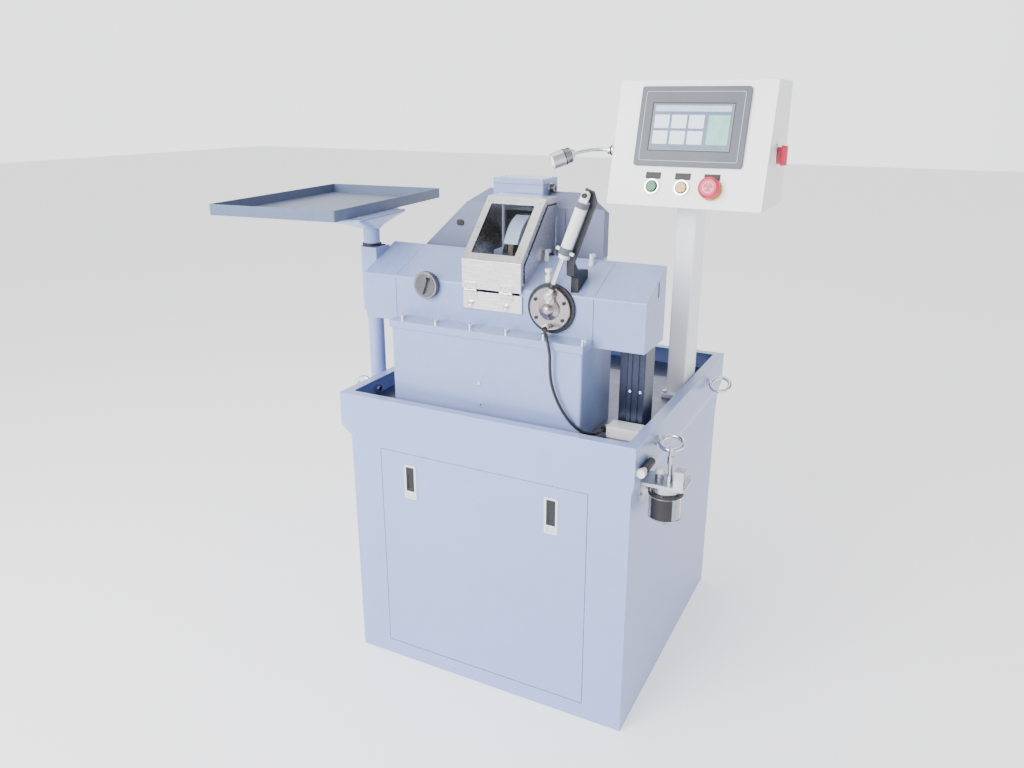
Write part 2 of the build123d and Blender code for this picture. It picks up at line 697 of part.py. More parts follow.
# Column under the right end: rail with its ribbed cover
with BuildPart() as column_rail:
    with BuildSketch(at_z(BED_TOP)):
        with Locations((225, -127)):
            Rectangle(16, 46)
        with Locations((219, -152)):
            Rectangle(4, 8, mode=Mode.SUBTRACT)
        with Locations((217, -127)):
            Rectangle(8, 20, mode=Mode.SUBTRACT)
    extrude(amount=BEAM_BOTTOM - BED_TOP)
with BuildPart() as column_cover:
    with BuildSketch(at_z(BED_TOP)):
        with Locations((250.5, -127.5)):
            RectangleRounded(35, 55, 2)
        with Locations((244, -155), (257, -155)):
            Rectangle(3, 4, mode=Mode.SUBTRACT)
    extrude(amount=BEAM_BOTTOM - BED_TOP)
save_group([column_rail.part, column_cover.part], "column")

# Tray post, and the clamp that holds its foot against the rim
with BuildPart() as tray_post:
    bar((POST_X, POST_Y, POST_BOTTOM), (POST_X, POST_Y, POST_TOP), POST_R)
    bar((POST_X, POST_Y, POST_TOP), (POST_X, POST_Y, POST_TOP + SPIGOT), SPIGOT_R)
    chamfer(tray_post.faces().sort_by(Axis.Z)[0].edges(), 1.5)
    chamfer(tray_post.faces().sort_by(Axis.Z)[-1].edges(), 1)
with BuildPart() as post_clamp:
    with BuildSketch(at_z(RIM_FOOT + 3)):
        with Locations((POST_X, POST_Y)):
            Circle(POST_R + 6)
        with Locations(((POST_X + RIM_LEFT) / 2, POST_Y)):
            Rectangle(RIM_LEFT - POST_X, 2 * POST_R + 16)
        with Locations((POST_X, POST_Y)):
            Circle(POST_R, mode=Mode.SUBTRACT)
    extrude(amount=36)
    add(tub_form(0), mode=Mode.SUBTRACT)
save_group([tray_post.part, post_clamp.part], "tray_post")


# Swivel tray and its bracket, turned a little about the post
def tray_plane(z):
    return Plane(origin=(POST_X, POST_Y, z), x_dir=(cos(radians(TRAY_TURN)), sin(radians(TRAY_TURN)), 0))


tray_bottom = TRAY_TOP - TRAY_LIP
with BuildPart() as tray_bracket:
    with BuildSketch(tray_plane(POST_TOP + AIR)):
        Circle(POST_R + 3)
    with BuildSketch(tray_plane(tray_bottom - 4)):
        with Locations((-2, -17)):
            RectangleRounded(88, 190, 6)
    loft()
    with BuildSketch(tray_plane(tray_bottom - 4)):
        with Locations((-2, -17)):
            RectangleRounded(88, 190, 6)
    extrude(amount=4)
    spigot_bore = (POST_X, POST_Y, POST_TOP + SPIGOT + AIR)
    bar((POST_X, POST_Y, POST_TOP), spigot_bore, SPIGOT_R + RUN, Mode.SUBTRACT)
save(tray_bracket.part, "tray_bracket")

with BuildPart() as tray:
    tray_width = TRAY_RIGHT - TRAY_LEFT
    tray_depth = TRAY_BACK - TRAY_FRONT
    tray_middle = ((TRAY_LEFT + TRAY_RIGHT) / 2, (TRAY_FRONT + TRAY_BACK) / 2)
    with BuildSketch(tray_plane(tray_bottom)):
        with Locations(tray_middle):
            RectangleRounded(tray_width, tray_depth, 4)
    extrude(amount=TRAY_LIP)
    with BuildSketch(tray_plane(tray_bottom + SHEET)):
        with Locations(tray_middle):
            RectangleRounded(tray_width - 2 * SHEET, tray_depth - 2 * SHEET, 2)
    extrude(amount=TRAY_LIP - SHEET, mode=Mode.SUBTRACT)
save(tray.part, "tray")

# Adjuster knob with a knurled rim and a raised grip
with BuildPart() as adjuster_knob:
    knob_back = BEAM_FRONT - AIR
    with BuildSketch(at_y(knob_back)):
        with Locations((KNOB_X, KNOB_Z)):
            Circle(KNOB_R)
            with PolarLocations(KNOB_R + 0.6, 30):
                Circle(1.5, mode=Mode.SUBTRACT)
    extrude(amount=12)
    with BuildSketch(at_y(knob_back - 12)):
        with Locations((KNOB_X, KNOB_Z)):
            Circle(KNOB_R - 3.5)
    extrude(amount=2, taper=30)
    with BuildSketch(at_y(knob_back - 14)):
        with Locations((KNOB_X, KNOB_Z)):
            SlotOverall(38, 11, rotation=70)
    extrude(amount=7, taper=8)
    bar((KNOB_X, BEAM_FRONT + 20 - AIR, KNOB_Z), (KNOB_X, knob_back, KNOB_Z), 6)
save(adjuster_knob.part, "adjuster_knob")

# Hood plate with the fixed hinge halves and their pins
knuckle = 5.0
with BuildPart() as hood_plate:
    with BuildSketch(at_y(BEAM_FRONT)):
        with Locations(((HOOD_LEFT + HOOD_RIGHT) / 2, (PLATE_BOTTOM + HOOD_HINGE_Z - 3) / 2)):
            RectangleRounded(HOOD_RIGHT - HOOD_LEFT, HOOD_HINGE_Z - 3 - PLATE_BOTTOM, 2)
    extrude(amount=PLATE_THICK)
    plate_face = BEAM_FRONT - PLATE_THICK
    for x in HINGE_XS:
        leaf_xs = (x - HINGE_WIDTH / 2, x + HINGE_WIDTH / 2)
        block(leaf_xs, (plate_face - LEAF_THICK, plate_face), (HOOD_HINGE_Z - LEAF_REACH, HOOD_HINGE_Z - 3))
        block((x - knuckle, x + knuckle), (HOOD_FRONT, plate_face), (HOOD_HINGE_Z - 6, HOOD_HINGE_Z))
        bar((x - knuckle, HOOD_FRONT, HOOD_HINGE_Z), (x + knuckle, HOOD_FRONT, HOOD_HINGE_Z), HINGE_R)
        pin_reach = HINGE_WIDTH / 2 + 1
        bar((x - pin_reach, HOOD_FRONT, HOOD_HINGE_Z), (x + pin_reach, HOOD_FRONT, HOOD_HINGE_Z), HOOD_PIN_R)
save(hood_plate.part, "hood_plate")


# Hood: bent stainless cover with a window, on side knuckles
def hood_line(inset, foot):
    """Section of the hood, inset from its outer face, from its foot to its back edge."""
    bend = inset * tan(radians(22.5))
    run = HOOD_TOP - HOOD_BEND_Z
    return [
        (HOOD_FRONT + inset, foot),
        (HOOD_FRONT + inset, HOOD_BEND_Z - bend),
        (HOOD_FRONT + run + bend, HOOD_TOP - inset),
        (HOOD_BACK, HOOD_TOP - inset),
    ]


WINDOW_LEFT = -70.0
WINDOW_RIGHT = 23.0
WINDOW_LOW = 16.0
WINDOW_HIGH = 134.0
WINDOW_THICK = 3.0
with BuildPart() as hood_frame:
    wall_foot = HOOD_HINGE_Z + HINGE_R + AIR
    side_foot = BEAM_RIDGE + HOOD_SIDE / 2
    for inner, foot, x_start, length in (
        (SHEET, wall_foot, HOOD_LEFT, HOOD_RIGHT - HOOD_LEFT),
        (HOOD_SIDE, side_foot, HOOD_LEFT, SHEET),
        (HOOD_SIDE, side_foot, HOOD_RIGHT - SHEET, SHEET),
    ):
        with BuildSketch(at_x(x_start)):
            with BuildLine():
                Polyline(*hood_line(0, foot), *reversed(hood_line(inner, foot)), close=True)
            make_face()
        extrude(amount=length)
    window_plane = Plane(origin=(0, HOOD_FRONT, HOOD_BEND_Z), x_dir=(1, 0, 0), z_dir=(0, -1, 1))
    window_middle = ((WINDOW_LEFT + WINDOW_RIGHT) / 2, (WINDOW_LOW + WINDOW_HIGH) / 2)
    with BuildSketch(window_plane):
        with Locations(window_middle):
            RectangleRounded(WINDOW_RIGHT - WINDOW_LEFT, WINDOW_HIGH - WINDOW_LOW, 3)
    extrude(amount=-2 * SHEET, mode=Mode.SUBTRACT)
    for x in HINGE_XS:
        for start in (-HINGE_WIDTH / 2, knuckle + AIR):
            ends = (x + start, x + start + HINGE_WIDTH / 2 - knuckle - AIR)
            knuckle_start, knuckle_end = [(end, HOOD_FRONT, HOOD_HINGE_Z) for end in ends]
            bar(knuckle_start, knuckle_end, HINGE_R)
            block(ends, (HOOD_FRONT - LEAF_THICK, HOOD_FRONT + 1), (HOOD_HINGE_Z, HOOD_HINGE_Z + 4))
            bar(knuckle_start, knuckle_end, HOOD_PIN_R + RUN, Mode.SUBTRACT)
        leaf_xs = (x - HINGE_WIDTH / 2, x + HINGE_WIDTH / 2)
        block(leaf_xs, (HOOD_FRONT - LEAF_THICK, HOOD_FRONT), (HOOD_HINGE_Z + 3, HOOD_HINGE_Z + LEAF_REACH))
save(hood_frame.part, "hood_frame")

with BuildPart() as hood_window:
    with BuildSketch(window_plane.offset(-SHEET)):
        with Locations(window_middle):
            RectangleRounded(WINDOW_RIGHT - WINDOW_LEFT + 10, WINDOW_HIGH - WINDOW_LOW + 10, 4)
    extrude(amount=-WINDOW_THICK)
save(hood_window.part, "hood_window")


# Cheeks: fixed side plates that stand on the beam inside the hood
def cheek(x):
    gap = SHEET + 0.5
    bend = gap * tan(radians(22.5))
    run = HOOD_TOP - HOOD_BEND_Z
    with BuildPart() as plate:
        with BuildSketch(at_x(x)):
            with BuildLine():
                Polyline(
                    (HOOD_FRONT + gap, BEAM_RIDGE), (BEAM_FRONT, BEAM_RIDGE),
                    (BEAM_BACK, beam_height(BEAM_BACK)), (HOOD_BACK, beam_height(BEAM_BACK)),
                    (HOOD_BACK, HOOD_TOP - gap),
                    (HOOD_FRONT + run + bend, HOOD_TOP - gap), (HOOD_FRONT + gap, HOOD_BEND_Z - bend),
                    close=True,
                )
            make_face()
        extrude(amount=SHEET)
        add(beam_length(BEAM_SEAM_LEFT, BEAM_SEAM_RIGHT), mode=Mode.SUBTRACT)
    return plate.part


save_group([cheek(HOOD_LEFT + SHEET + 0.5), cheek(HOOD_RIGHT - 2 * SHEET - 0.5)], "guard_cheeks")

# Crank flange on the beam's front, with the sleeve that carries the crank shaft
with BuildPart() as clamp_flange:
    bar((CRANK_X, BEAM_FRONT, CRANK_Z), (CRANK_X, BEAM_FRONT - FLANGE_THICK, CRANK_Z), FLANGE_R)
    face_y = BEAM_FRONT - FLANGE_THICK
    bar((CRANK_X, face_y, CRANK_Z), (CRANK_X, face_y - FACE_THICK, CRANK_Z), FACE_R)
    chamfer(clamp_flange.faces().sort_by(Axis.Y)[0].edges(), 1.5)
    bar((CRANK_X, BEAM_FRONT, CRANK_Z), (CRANK_X, sleeve_end, CRANK_Z), SLEEVE_R)
    bore_start = (CRANK_X, face_y - FACE_THICK, CRANK_Z)
    bar(bore_start, (CRANK_X, sleeve_end, CRANK_Z), CRANK_SHAFT_R + RUN, Mode.SUBTRACT)
save(clamp_flange.part, "clamp_flange")


# Crank: domed hub, arm with its stub pin, shaft and pinion
def tooth_width(radius):
    """Width of a pinion tooth at a radius."""
    return pi * MODULE / 2 - BACKLASH / 2 - 2 * (radius - PITCH_R) * FLANK


def pinion_outline():
    """Corner points of the pinion, tooth by tooth, the first tooth pointing up."""
    root = PITCH_R - DEDENDUM
    tip = PITCH_R + ADDENDUM
    points = []
    for tooth in range(TEETH):
        for radius, side in ((root, -1), (tip, -1), (tip, 1), (root, 1)):
            angle = pi / 2 - 2 * pi * tooth / TEETH - side * tooth_width(radius) / 2 / radius
            points.append((radius * cos(angle), radius * sin(angle)))
    return points


hub_back = BEAM_FRONT - FLANGE_THICK - FACE_THICK - AIR
eye_back = CYL_Y + EYE_THICK / 2
lean = radians(CRANK_LEAN)
pin_x = CRANK_X + CRANK_R * sin(lean)
pin_z = CRANK_Z + CRANK_R * cos(lean)
HUB_R = 20.0
HUB_NOSE_R = 12.0
DOME_R = 13.0
DOME_HEIGHT = 8.0
ARM_THICK = 5.7
ARM_END_R = 7.5
dome_end = eye_back - DOME_HEIGHT
dome_half = asin(HUB_NOSE_R / DOME_R) / 2
dome_middle = (DOME_R * sin(dome_half), dome_end + DOME_R * (1 - cos(dome_half)))
with BuildPart() as crank_hub:
    with BuildSketch(Plane(origin=(CRANK_X, 0, CRANK_Z), x_dir=(1, 0, 0), z_dir=(0, 0, 1))):
        with BuildLine():
            Polyline((0, pinion_back - AIR), (CRANK_SHAFT_R, pinion_back - AIR), (CRANK_SHAFT_R, hub_back),
                     (HUB_R, hub_back), (HUB_R, hub_back - 3), (HUB_NOSE_R, eye_back))
            ThreePointArc((HUB_NOSE_R, eye_back), dome_middle, (0, dome_end))
            Line((0, dome_end), (0, pinion_back - AIR))
        make_face()
    revolve(axis=Axis((CRANK_X, 0, CRANK_Z), (0, 1, 0)))
    arm_across = (cos(lean), 0, -sin(lean))
    arm_plane = Plane(origin=(CRANK_X, hub_back, CRANK_Z), x_dir=arm_across, z_dir=(0, -1, 0))
    with BuildSketch(arm_plane):
        with BuildLine():
            Polyline((-13, 0), (13, 0), (6.5, CRANK_R + 3), (-6.5, CRANK_R + 3), close=True)
        make_face()
        with Locations((0, CRANK_R)):
            Circle(ARM_END_R)
    extrude(amount=ARM_THICK)
    bar((pin_x, hub_back - ARM_THICK, pin_z), (pin_x, CYL_Y + ROD_R + AIR, pin_z), 4)
    pinion_front = SPINDLE_Y - PINION_WIDTH / 2
    with BuildSketch(Plane(origin=(CRANK_X, pinion_front, CRANK_Z), x_dir=(1, 0, 0), z_dir=(0, -1, 0))):
        with BuildLine():
            Polyline(*pinion_outline(), close=True)
        make_face()
    extrude(amount=-PINION_WIDTH)
save(crank_hub.part, "crank_hub")

# Quill: rack cut in its underside, bored for the right spindle
RACK_START = 84.0
RACK_END = 134.0
rack_tip = CRANK_Z + PITCH_R - ADDENDUM + 0.1
rack_root = CRANK_Z + PITCH_R + DEDENDUM
with BuildPart() as quill:
    bar((QUILL_LEFT, SPINDLE_Y, SPINDLE_Z), (QUILL_LEFT + QUILL_LENGTH, SPINDLE_Y, SPINDLE_Z), QUILL_R)
    block(
        (RACK_START, RACK_END), (SPINDLE_Y - QUILL_R, SPINDLE_Y + QUILL_R),
        (SPINDLE_Z - QUILL_R - 1, rack_tip), Mode.SUBTRACT,
    )
    pitch = pi * MODULE
    with BuildSketch(at_y(SPINDLE_Y + QUILL_R)):
        for step in range(-3, 9):
            middle = CRANK_X + step * pitch
            wide = pi * MODULE / 4 + BACKLASH / 4 + ADDENDUM * FLANK
            narrow = pi * MODULE / 4 + BACKLASH / 4 - DEDENDUM * FLANK
            with BuildLine():
                Polyline(
                    (middle - wide, rack_tip - 0.1), (middle + wide, rack_tip - 0.1),
                    (middle + narrow, rack_root), (middle - narrow, rack_root), close=True,
                )
            make_face()
    extrude(amount=2 * QUILL_R, mode=Mode.SUBTRACT)
    bar(
        (QUILL_LEFT, SPINDLE_Y, SPINDLE_Z), (QUILL_LEFT + QUILL_LENGTH, SPINDLE_Y, SPINDLE_Z),
        RIGHT_SPINDLE_R + RUN, Mode.SUBTRACT,
    )
save(quill.part, "quill")


# Lens spindles and the lens blank between their chucks
def spindle_profile(points):
    """A turned piece on the lens axis, from its half outline of (x, radius) points."""
    plane = Plane(origin=(0, SPINDLE_Y, SPINDLE_Z), x_dir=(1, 0, 0), z_dir=(0, -1, 0))
    with BuildPart() as turned:
        with BuildSketch(plane):
            with BuildLine():
                Polyline((points[0][0], 0), *points, (points[-1][0], 0), close=True)
            make_face()
        revolve(axis=Axis((0, SPINDLE_Y, SPINDLE_Z), (1, 0, 0)))
    return turned.part


GEARMOTOR_LENGTH = 54.0
motor_left = BEAM_LEFT + BEAM_WALL
motor_right = motor_left + GEARMOTOR_LENGTH
left_spindle = spindle_profile([
    (motor_right + AIR, LEFT_SPINDLE_R), (CHAMBER_LEFT + 6, LEFT_SPINDLE_R), (CHAMBER_LEFT + 6, CHUCK_R + 4),
    (CHAMBER_LEFT + 20, CHUCK_R + 4), (CHAMBER_LEFT + 28, CHUCK_R), (LENS_FACE - 3, CHUCK_R),
    (LENS_FACE, CHUCK_R - 2),
])
save(left_spindle, "left_spindle")
lens_gearmotor = spindle_profile([
    (motor_left, MOTOR_R), (motor_right - 12, MOTOR_R), (motor_right - 12, MOTOR_R - 3),
    (motor_right, MOTOR_R - 3),
])
save(lens_gearmotor, "lens_gearmotor")

with BuildPart() as lens_blank:
    with BuildSketch(Plane(origin=(0, SPINDLE_Y, SPINDLE_Z), x_dir=(1, 0, 0), z_dir=(0, -1, 0))):
        with BuildLine():
            lens_middle = LENS_FACE + LENS_THICK / 2
            seat = CHUCK_R - 2
            Line((lens_middle - LENS_THICK / 2, 0), (lens_middle - LENS_THICK / 2, seat))
            Line((lens_middle - LENS_THICK / 2, seat), (lens_middle - LENS_EDGE / 2, LENS_R))
            Line((lens_middle - LENS_EDGE / 2, LENS_R), (lens_middle + LENS_EDGE / 2, LENS_R))
            Line((lens_middle + LENS_EDGE / 2, LENS_R), (lens_middle + LENS_THICK / 2, seat))
            Line((lens_middle + LENS_THICK / 2, seat), (lens_middle + LENS_THICK / 2, 0))
            Line((lens_middle + LENS_THICK / 2, 0), (lens_middle - LENS_THICK / 2, 0))
        make_face()
    revolve(axis=Axis((0, SPINDLE_Y, SPINDLE_Z), (1, 0, 0)))
save(lens_blank.part, "lens_blank")

right_tip = LENS_FACE + LENS_THICK + CLAMP_TRAVEL + AIR
quill_right = QUILL_LEFT + QUILL_LENGTH
right_spindle = spindle_profile([
    (right_tip, CHUCK_R - 2), (right_tip + 3, CHUCK_R), (QUILL_LEFT - 18, CHUCK_R),
    (QUILL_LEFT - 12, CHUCK_R + 2), (QUILL_LEFT - AIR, CHUCK_R + 2), (QUILL_LEFT - AIR, RIGHT_SPINDLE_R),
    (quill_right + AIR, RIGHT_SPINDLE_R),
    (quill_right + AIR, CHUCK_R + 1), (quill_right + 6, CHUCK_R + 1),
])
save(right_spindle, "right_spindle")

# Air cylinder: barrel on a rear pin, rod with an eye at the crank
tilt = atan2(REAR_X - pin_x, REAR_Z - pin_z)
reach = hypot(REAR_X - pin_x, REAR_Z - pin_z)


across = (cos(tilt), 0, -sin(tilt))


def along(s, side=0.0, y=CYL_Y):
    """Point on the cylinder's line: s from the crank pin, side to its right."""
    return (pin_x + s * sin(tilt) + side * cos(tilt), y, pin_z + s * cos(tilt) - side * sin(tilt))


with BuildPart() as cylinder_barrel:
    bar(along(BARREL_START - 6), along(BARREL_START), BARREL_R - 1.5)
    bar(along(BARREL_START), along(BARREL_END), BARREL_R)
    with BuildSketch(Plane(origin=along(0, 0, CYL_Y - EYE_THICK / 2), x_dir=across, z_dir=(0, -1, 0))):
        with Locations((0, reach)):
            Circle(7)
        with Locations((0, (reach + BARREL_END) / 2)):
            Rectangle(14, reach - BARREL_END)
    extrude(amount=-EYE_THICK)
    for side in (-1, 1):
        port_end = along(BARREL_START + 7, side * (BARREL_R + 7))
        bar(along(BARREL_START + 7, side * (BARREL_R - 2)), port_end, 3.2)
    bar(along(reach, 0, CYL_Y - 5), along(reach, 0, CYL_Y + 5), REAR_PIN_R + RUN, Mode.SUBTRACT)
    bar(along(BARREL_START + 2), along(BARREL_END - 6), BARREL_R - 2, Mode.SUBTRACT)
    bar(along(BARREL_START - 7), along(BARREL_START + 3), ROD_R + RUN, Mode.SUBTRACT)
save(cylinder_barrel.part, "cylinder_barrel")

with BuildPart() as piston_rod:
    bar(along(5), along(BARREL_START + 32), ROD_R)
    bar(along(BARREL_START + 28), along(BARREL_START + 36), BARREL_R - 2 - RUN)
    bar(along(0, 0, CYL_Y - EYE_THICK / 2), along(0, 0, eye_back), EYE_R)
    bar(along(0, 0, CYL_Y - EYE_THICK / 2 - 3), along(0, 0, CYL_Y - EYE_THICK / 2), 4)
    bar(along(EYE_R - 2), along(EYE_R + 6), 5)
save(piston_rod.part, "piston_rod")

# Strut that carries the cylinder's rear pin
STRUT_BACK = -213.5
STRUT_FRONT = -217.7
with BuildPart() as cylinder_strut:
    with BuildSketch(Plane(origin=along(0, 0, STRUT_BACK), x_dir=across, z_dir=(0, -1, 0))):
        with BuildLine():
            Polyline(
                (9, 62), (20, 62), (20, reach - 6), (8, reach + 9), (-8, reach + 9), (-8, reach - 9),
                (9, reach - 12), close=True,
            )
        make_face()
    extrude(amount=STRUT_BACK - STRUT_FRONT)
    pin_head = CYL_Y - EYE_THICK / 2 - AIR
    bar(along(reach, 0, STRUT_FRONT), along(reach, 0, pin_head), REAR_PIN_R)
    bar(along(reach, 0, pin_head), along(reach, 0, pin_head - 2.7), REAR_PIN_R + 2)
    foot_x = along(66, 14.5)[0]
    with BuildSketch(at_x(foot_x - 7)):
        with BuildLine():
            Polyline(
                (STRUT_FRONT, 858), (STRUT_FRONT, 884), (STRUT_BACK, 884), (-196, 864), (-150, 858),
                (-150, BEAM_RIDGE), (-196, BEAM_RIDGE), (-196, 850), close=True,
            )
        make_face()
    extrude(amount=14)
    add(beam_length(BEAM_SEAM_LEFT, BEAM_SEAM_RIGHT), mode=Mode.SUBTRACT)
save(cylinder_strut.part, "cylinder_strut")

# Wheel column on the bed: hollow casting with two ways on top and a slot for the wheel
COLUMN_XS = (-200.0, 90.0)
COLUMN_YS = (-88.0, 115.0)
COLUMN_WALL = 12.0
SLOT_XS = (-33.0, -9.0)
SLOT_YS = (COLUMN_YS[0], 66.0)
SLOT_FLOOR = 752.0
with BuildPart() as wheel_column:
    block(COLUMN_XS, COLUMN_YS, (BED_TOP, COLUMN_TOP))
    fillet(wheel_column.edges().filter_by(Axis.Z), 10)
    block(
        (COLUMN_XS[0] + COLUMN_WALL, COLUMN_XS[1] - COLUMN_WALL),
        (COLUMN_YS[0] + COLUMN_WALL, COLUMN_YS[1] - COLUMN_WALL),
        (BED_TOP, SLOT_FLOOR - COLUMN_WALL), Mode.SUBTRACT,
    )
    block(SLOT_XS, (SLOT_YS[0] - 1, SLOT_YS[1]), (SLOT_FLOOR, COLUMN_TOP), Mode.SUBTRACT)
    for x in WAY_XS:
        block((x - WAY_WIDTH / 2, x + WAY_WIDTH / 2), (-80, 107), (COLUMN_TOP, COLUMN_TOP + WAY_HEIGHT))
save(wheel_column.part, "wheel_column")

# Wheel carriage: grooved plate that slides on the ways, with two spindle bearings
BEARING_XS = ((-54.0, -35.0), (-7.0, 13.0))
GUARD_SHEET = 2.0
with BuildPart() as wheel_carriage:
    block((GUARD_LEFT, GUARD_WALL), (GUARD_FRONT, GUARD_BACK), (COLUMN_TOP + AIR, GUARD_FOOT))
    chamfer(wheel_carriage.edges().filter_by(Axis.Z), 4)
    for x in WAY_XS:
        half = WAY_WIDTH / 2 + WAY_CLEAR
        groove_top = COLUMN_TOP + WAY_HEIGHT + WAY_CLEAR
        groove_ys = (GUARD_FRONT - 1, GUARD_BACK + 1)
        block((x - half, x + half), groove_ys, (COLUMN_TOP, groove_top), Mode.SUBTRACT)
    block(SLOT_XS, (GUARD_FRONT - 1, SLOT_YS[1]), (COLUMN_TOP, GUARD_FOOT), Mode.SUBTRACT)
    for x_start, x_end in BEARING_XS:
        with BuildSketch(at_x(x_start)):
            with Locations((WHEEL_Y, WHEEL_Z)):
                Circle(20)
            with Locations((WHEEL_Y + 5, (GUARD_FOOT + WHEEL_Z) / 2)):
                Rectangle(30, WHEEL_Z - GUARD_FOOT)
        extrude(amount=x_end - x_start)
    bearing_start, bearing_end = [(x, WHEEL_Y, WHEEL_Z) for x in (BEARING_XS[0][0], BEARING_XS[1][1])]
    bar(bearing_start, bearing_end, WHEEL_SPINDLE_R + RUN, Mode.SUBTRACT)
save(wheel_carriage.part, "wheel_carriage")

# Wheel motor with its belt case, which takes the spindle's driven end
CASE_XS = (-72.0, -54.0)
MOTOR_LEFT = -198.0
with BuildPart() as wheel_motor:
    bar((MOTOR_LEFT, MOTOR_Y, MOTOR_Z), (CASE_XS[0], MOTOR_Y, MOTOR_Z), WHEEL_MOTOR_R)
    chamfer(wheel_motor.faces().sort_by(Axis.X)[0].edges(), 3)
    block((MOTOR_LEFT + 12, CASE_XS[0] - 12), (MOTOR_Y - 28, MOTOR_Y + 28), (GUARD_FOOT, MOTOR_Z - 20))
    with BuildSketch(at_x(CASE_XS[0])):
        with Locations((WHEEL_Y, WHEEL_Z)):
            Circle(19)
        with Locations((MOTOR_Y, MOTOR_Z)):
            Circle(WHEEL_MOTOR_R - 2)
        make_hull()
    extrude(amount=CASE_XS[1] - CASE_XS[0])
    case_bore, case_face = [(x, WHEEL_Y, WHEEL_Z) for x in (CASE_XS[0] + 4, CASE_XS[1])]
    bar(case_bore, case_face, WHEEL_SPINDLE_R + RUN, Mode.SUBTRACT)
save(wheel_motor.part, "wheel_motor")


def wheel_turned(points, bore=0.0):
    """A turned piece on the wheel axis, from its half outline of (x, radius) points."""
    plane = Plane(origin=(0, WHEEL_Y, WHEEL_Z), x_dir=(1, 0, 0), z_dir=(0, -1, 0))
    with BuildPart() as turned:
        with BuildSketch(plane):
            with BuildLine():
                Polyline((points[0][0], bore), *points, (points[-1][0], bore), close=True)
            make_face()
        revolve(axis=Axis((0, WHEEL_Y, WHEEL_Z), (1, 0, 0)))
    return turned.part


wheel_left = WHEEL_X - WHEEL_THICK / 2
wheel_right = WHEEL_X + WHEEL_THICK / 2
wheel_spindle = wheel_turned([
    (CASE_XS[0] + 4 + AIR, WHEEL_SPINDLE_R), (wheel_left - 4, WHEEL_SPINDLE_R), (wheel_left - 4, 24),
    (wheel_left, 26), (wheel_left, WHEEL_SPINDLE_R), (wheel_right, WHEEL_SPINDLE_R), (wheel_right, 26),
    (wheel_right + 4, 24), (wheel_right + 4, WHEEL_SPINDLE_R), (BEARING_XS[1][1], WHEEL_SPINDLE_R),
])
save(wheel_spindle, "wheel_spindle")
grinding_wheel = wheel_turned([
    (wheel_left, WHEEL_R - 1), (wheel_left + 1, WHEEL_R), (wheel_right - 1, WHEEL_R),
    (wheel_right, WHEEL_R - 1),
], WHEEL_SPINDLE_R)
save(grinding_wheel, "grinding_wheel")


# Wheel guard: sheet hood with a gabled roof, a sloping left side and a front plate wider than its right wall
def guard_form(inset):
    side_slope = (GUARD_EAVE - GUARD_SIDE_EAVE) / GUARD_SIDE_RUN
    roof = GUARD_RIDGE + 1
    with BuildPart() as form:
        with BuildSketch(Plane.XZ):
            with BuildLine():
                Polyline(
                    (GUARD_LEFT, GUARD_FOOT), (GUARD_WALL, GUARD_FOOT), (GUARD_WALL, roof),
                    (GUARD_LEFT + (roof - GUARD_SIDE_EAVE) / side_slope, roof),
                    (GUARD_LEFT, GUARD_SIDE_EAVE), close=True,
                )
            make_face()
            if inset:
                offset(amount=-inset, kind=Kind.INTERSECTION)
        extrude(amount=2 * BODY_DEPTH, both=True)
        with BuildSketch(Plane.YZ):
            with BuildLine():
                Polyline(
                    (GUARD_FRONT, GUARD_FOOT), (GUARD_BACK, GUARD_FOOT), (GUARD_BACK, GUARD_REAR),
                    (GUARD_RIDGE_Y, GUARD_RIDGE), (GUARD_FRONT, GUARD_EAVE), close=True,
                )
            make_face()
            if inset:
                offset(amount=-inset, kind=Kind.INTERSECTION)
        extrude(amount=2 * BODY_WIDTH, both=True, mode=Mode.INTERSECT)
    return form.part


with BuildPart() as wheel_guard:
    add(guard_form(0))
    add(guard_form(GUARD_SHEET), mode=Mode.SUBTRACT)
    block(
        (GUARD_LEFT + GUARD_SHEET, GUARD_WALL - GUARD_SHEET),
        (GUARD_FRONT + GUARD_SHEET, GUARD_BACK - GUARD_SHEET), (GUARD_FOOT, GUARD_FOOT + GUARD_SHEET),
        Mode.SUBTRACT,
    )
    plate_ys = (GUARD_FRONT, GUARD_FRONT + GUARD_SHEET)
    block((GUARD_OPEN_RIGHT, GUARD_RIGHT), plate_ys, (GUARD_FOOT, GUARD_EAVE))
    block((GUARD_OPEN_LEFT, GUARD_OPEN_RIGHT), plate_ys, (GUARD_FOOT, GUARD_OPEN_TOP), Mode.SUBTRACT)
save(wheel_guard.part, "wheel_guard")

with BuildPart() as terminal_box:
    block((-110, 3), (-38, 32), (GUARD_EAVE, 1004))
    fillet(terminal_box.edges().filter_by(Axis.Z), 3)
    chamfer(terminal_box.faces().sort_by(Axis.Z)[-1].edges(), 2)
    bar((3, -12, 985), (8, -12, 985), 9)
    bar((8, -12, 985), (18, -12, 985), 7)
    add(guard_form(0), mode=Mode.SUBTRACT)
save(terminal_box.part, "terminal_box")

# Mast: rectangular tube on a base plate
with BuildPart() as control_post:
    with BuildSketch(at_z(BED_TOP)):
        with Locations(((MAST_BOLT_XS[0] + MAST_BOLT_XS[1]) / 2, MAST_Y)):
            RectangleRounded(46, 124, 4)
    extrude(amount=MAST_BASE)
    with BuildSketch(at_z(BED_TOP + MAST_BASE)):
        with Locations((MAST_X, MAST_Y)):
            RectangleRounded(MAST_WIDTH, MAST_DEPTH, 4)
            RectangleRounded(MAST_WIDTH - 2 * MAST_WALL, MAST_DEPTH - 2 * MAST_WALL, 2, mode=Mode.SUBTRACT)
    extrude(amount=BOX_BOTTOM - BED_TOP - MAST_BASE)
save(control_post.part, "control_post")

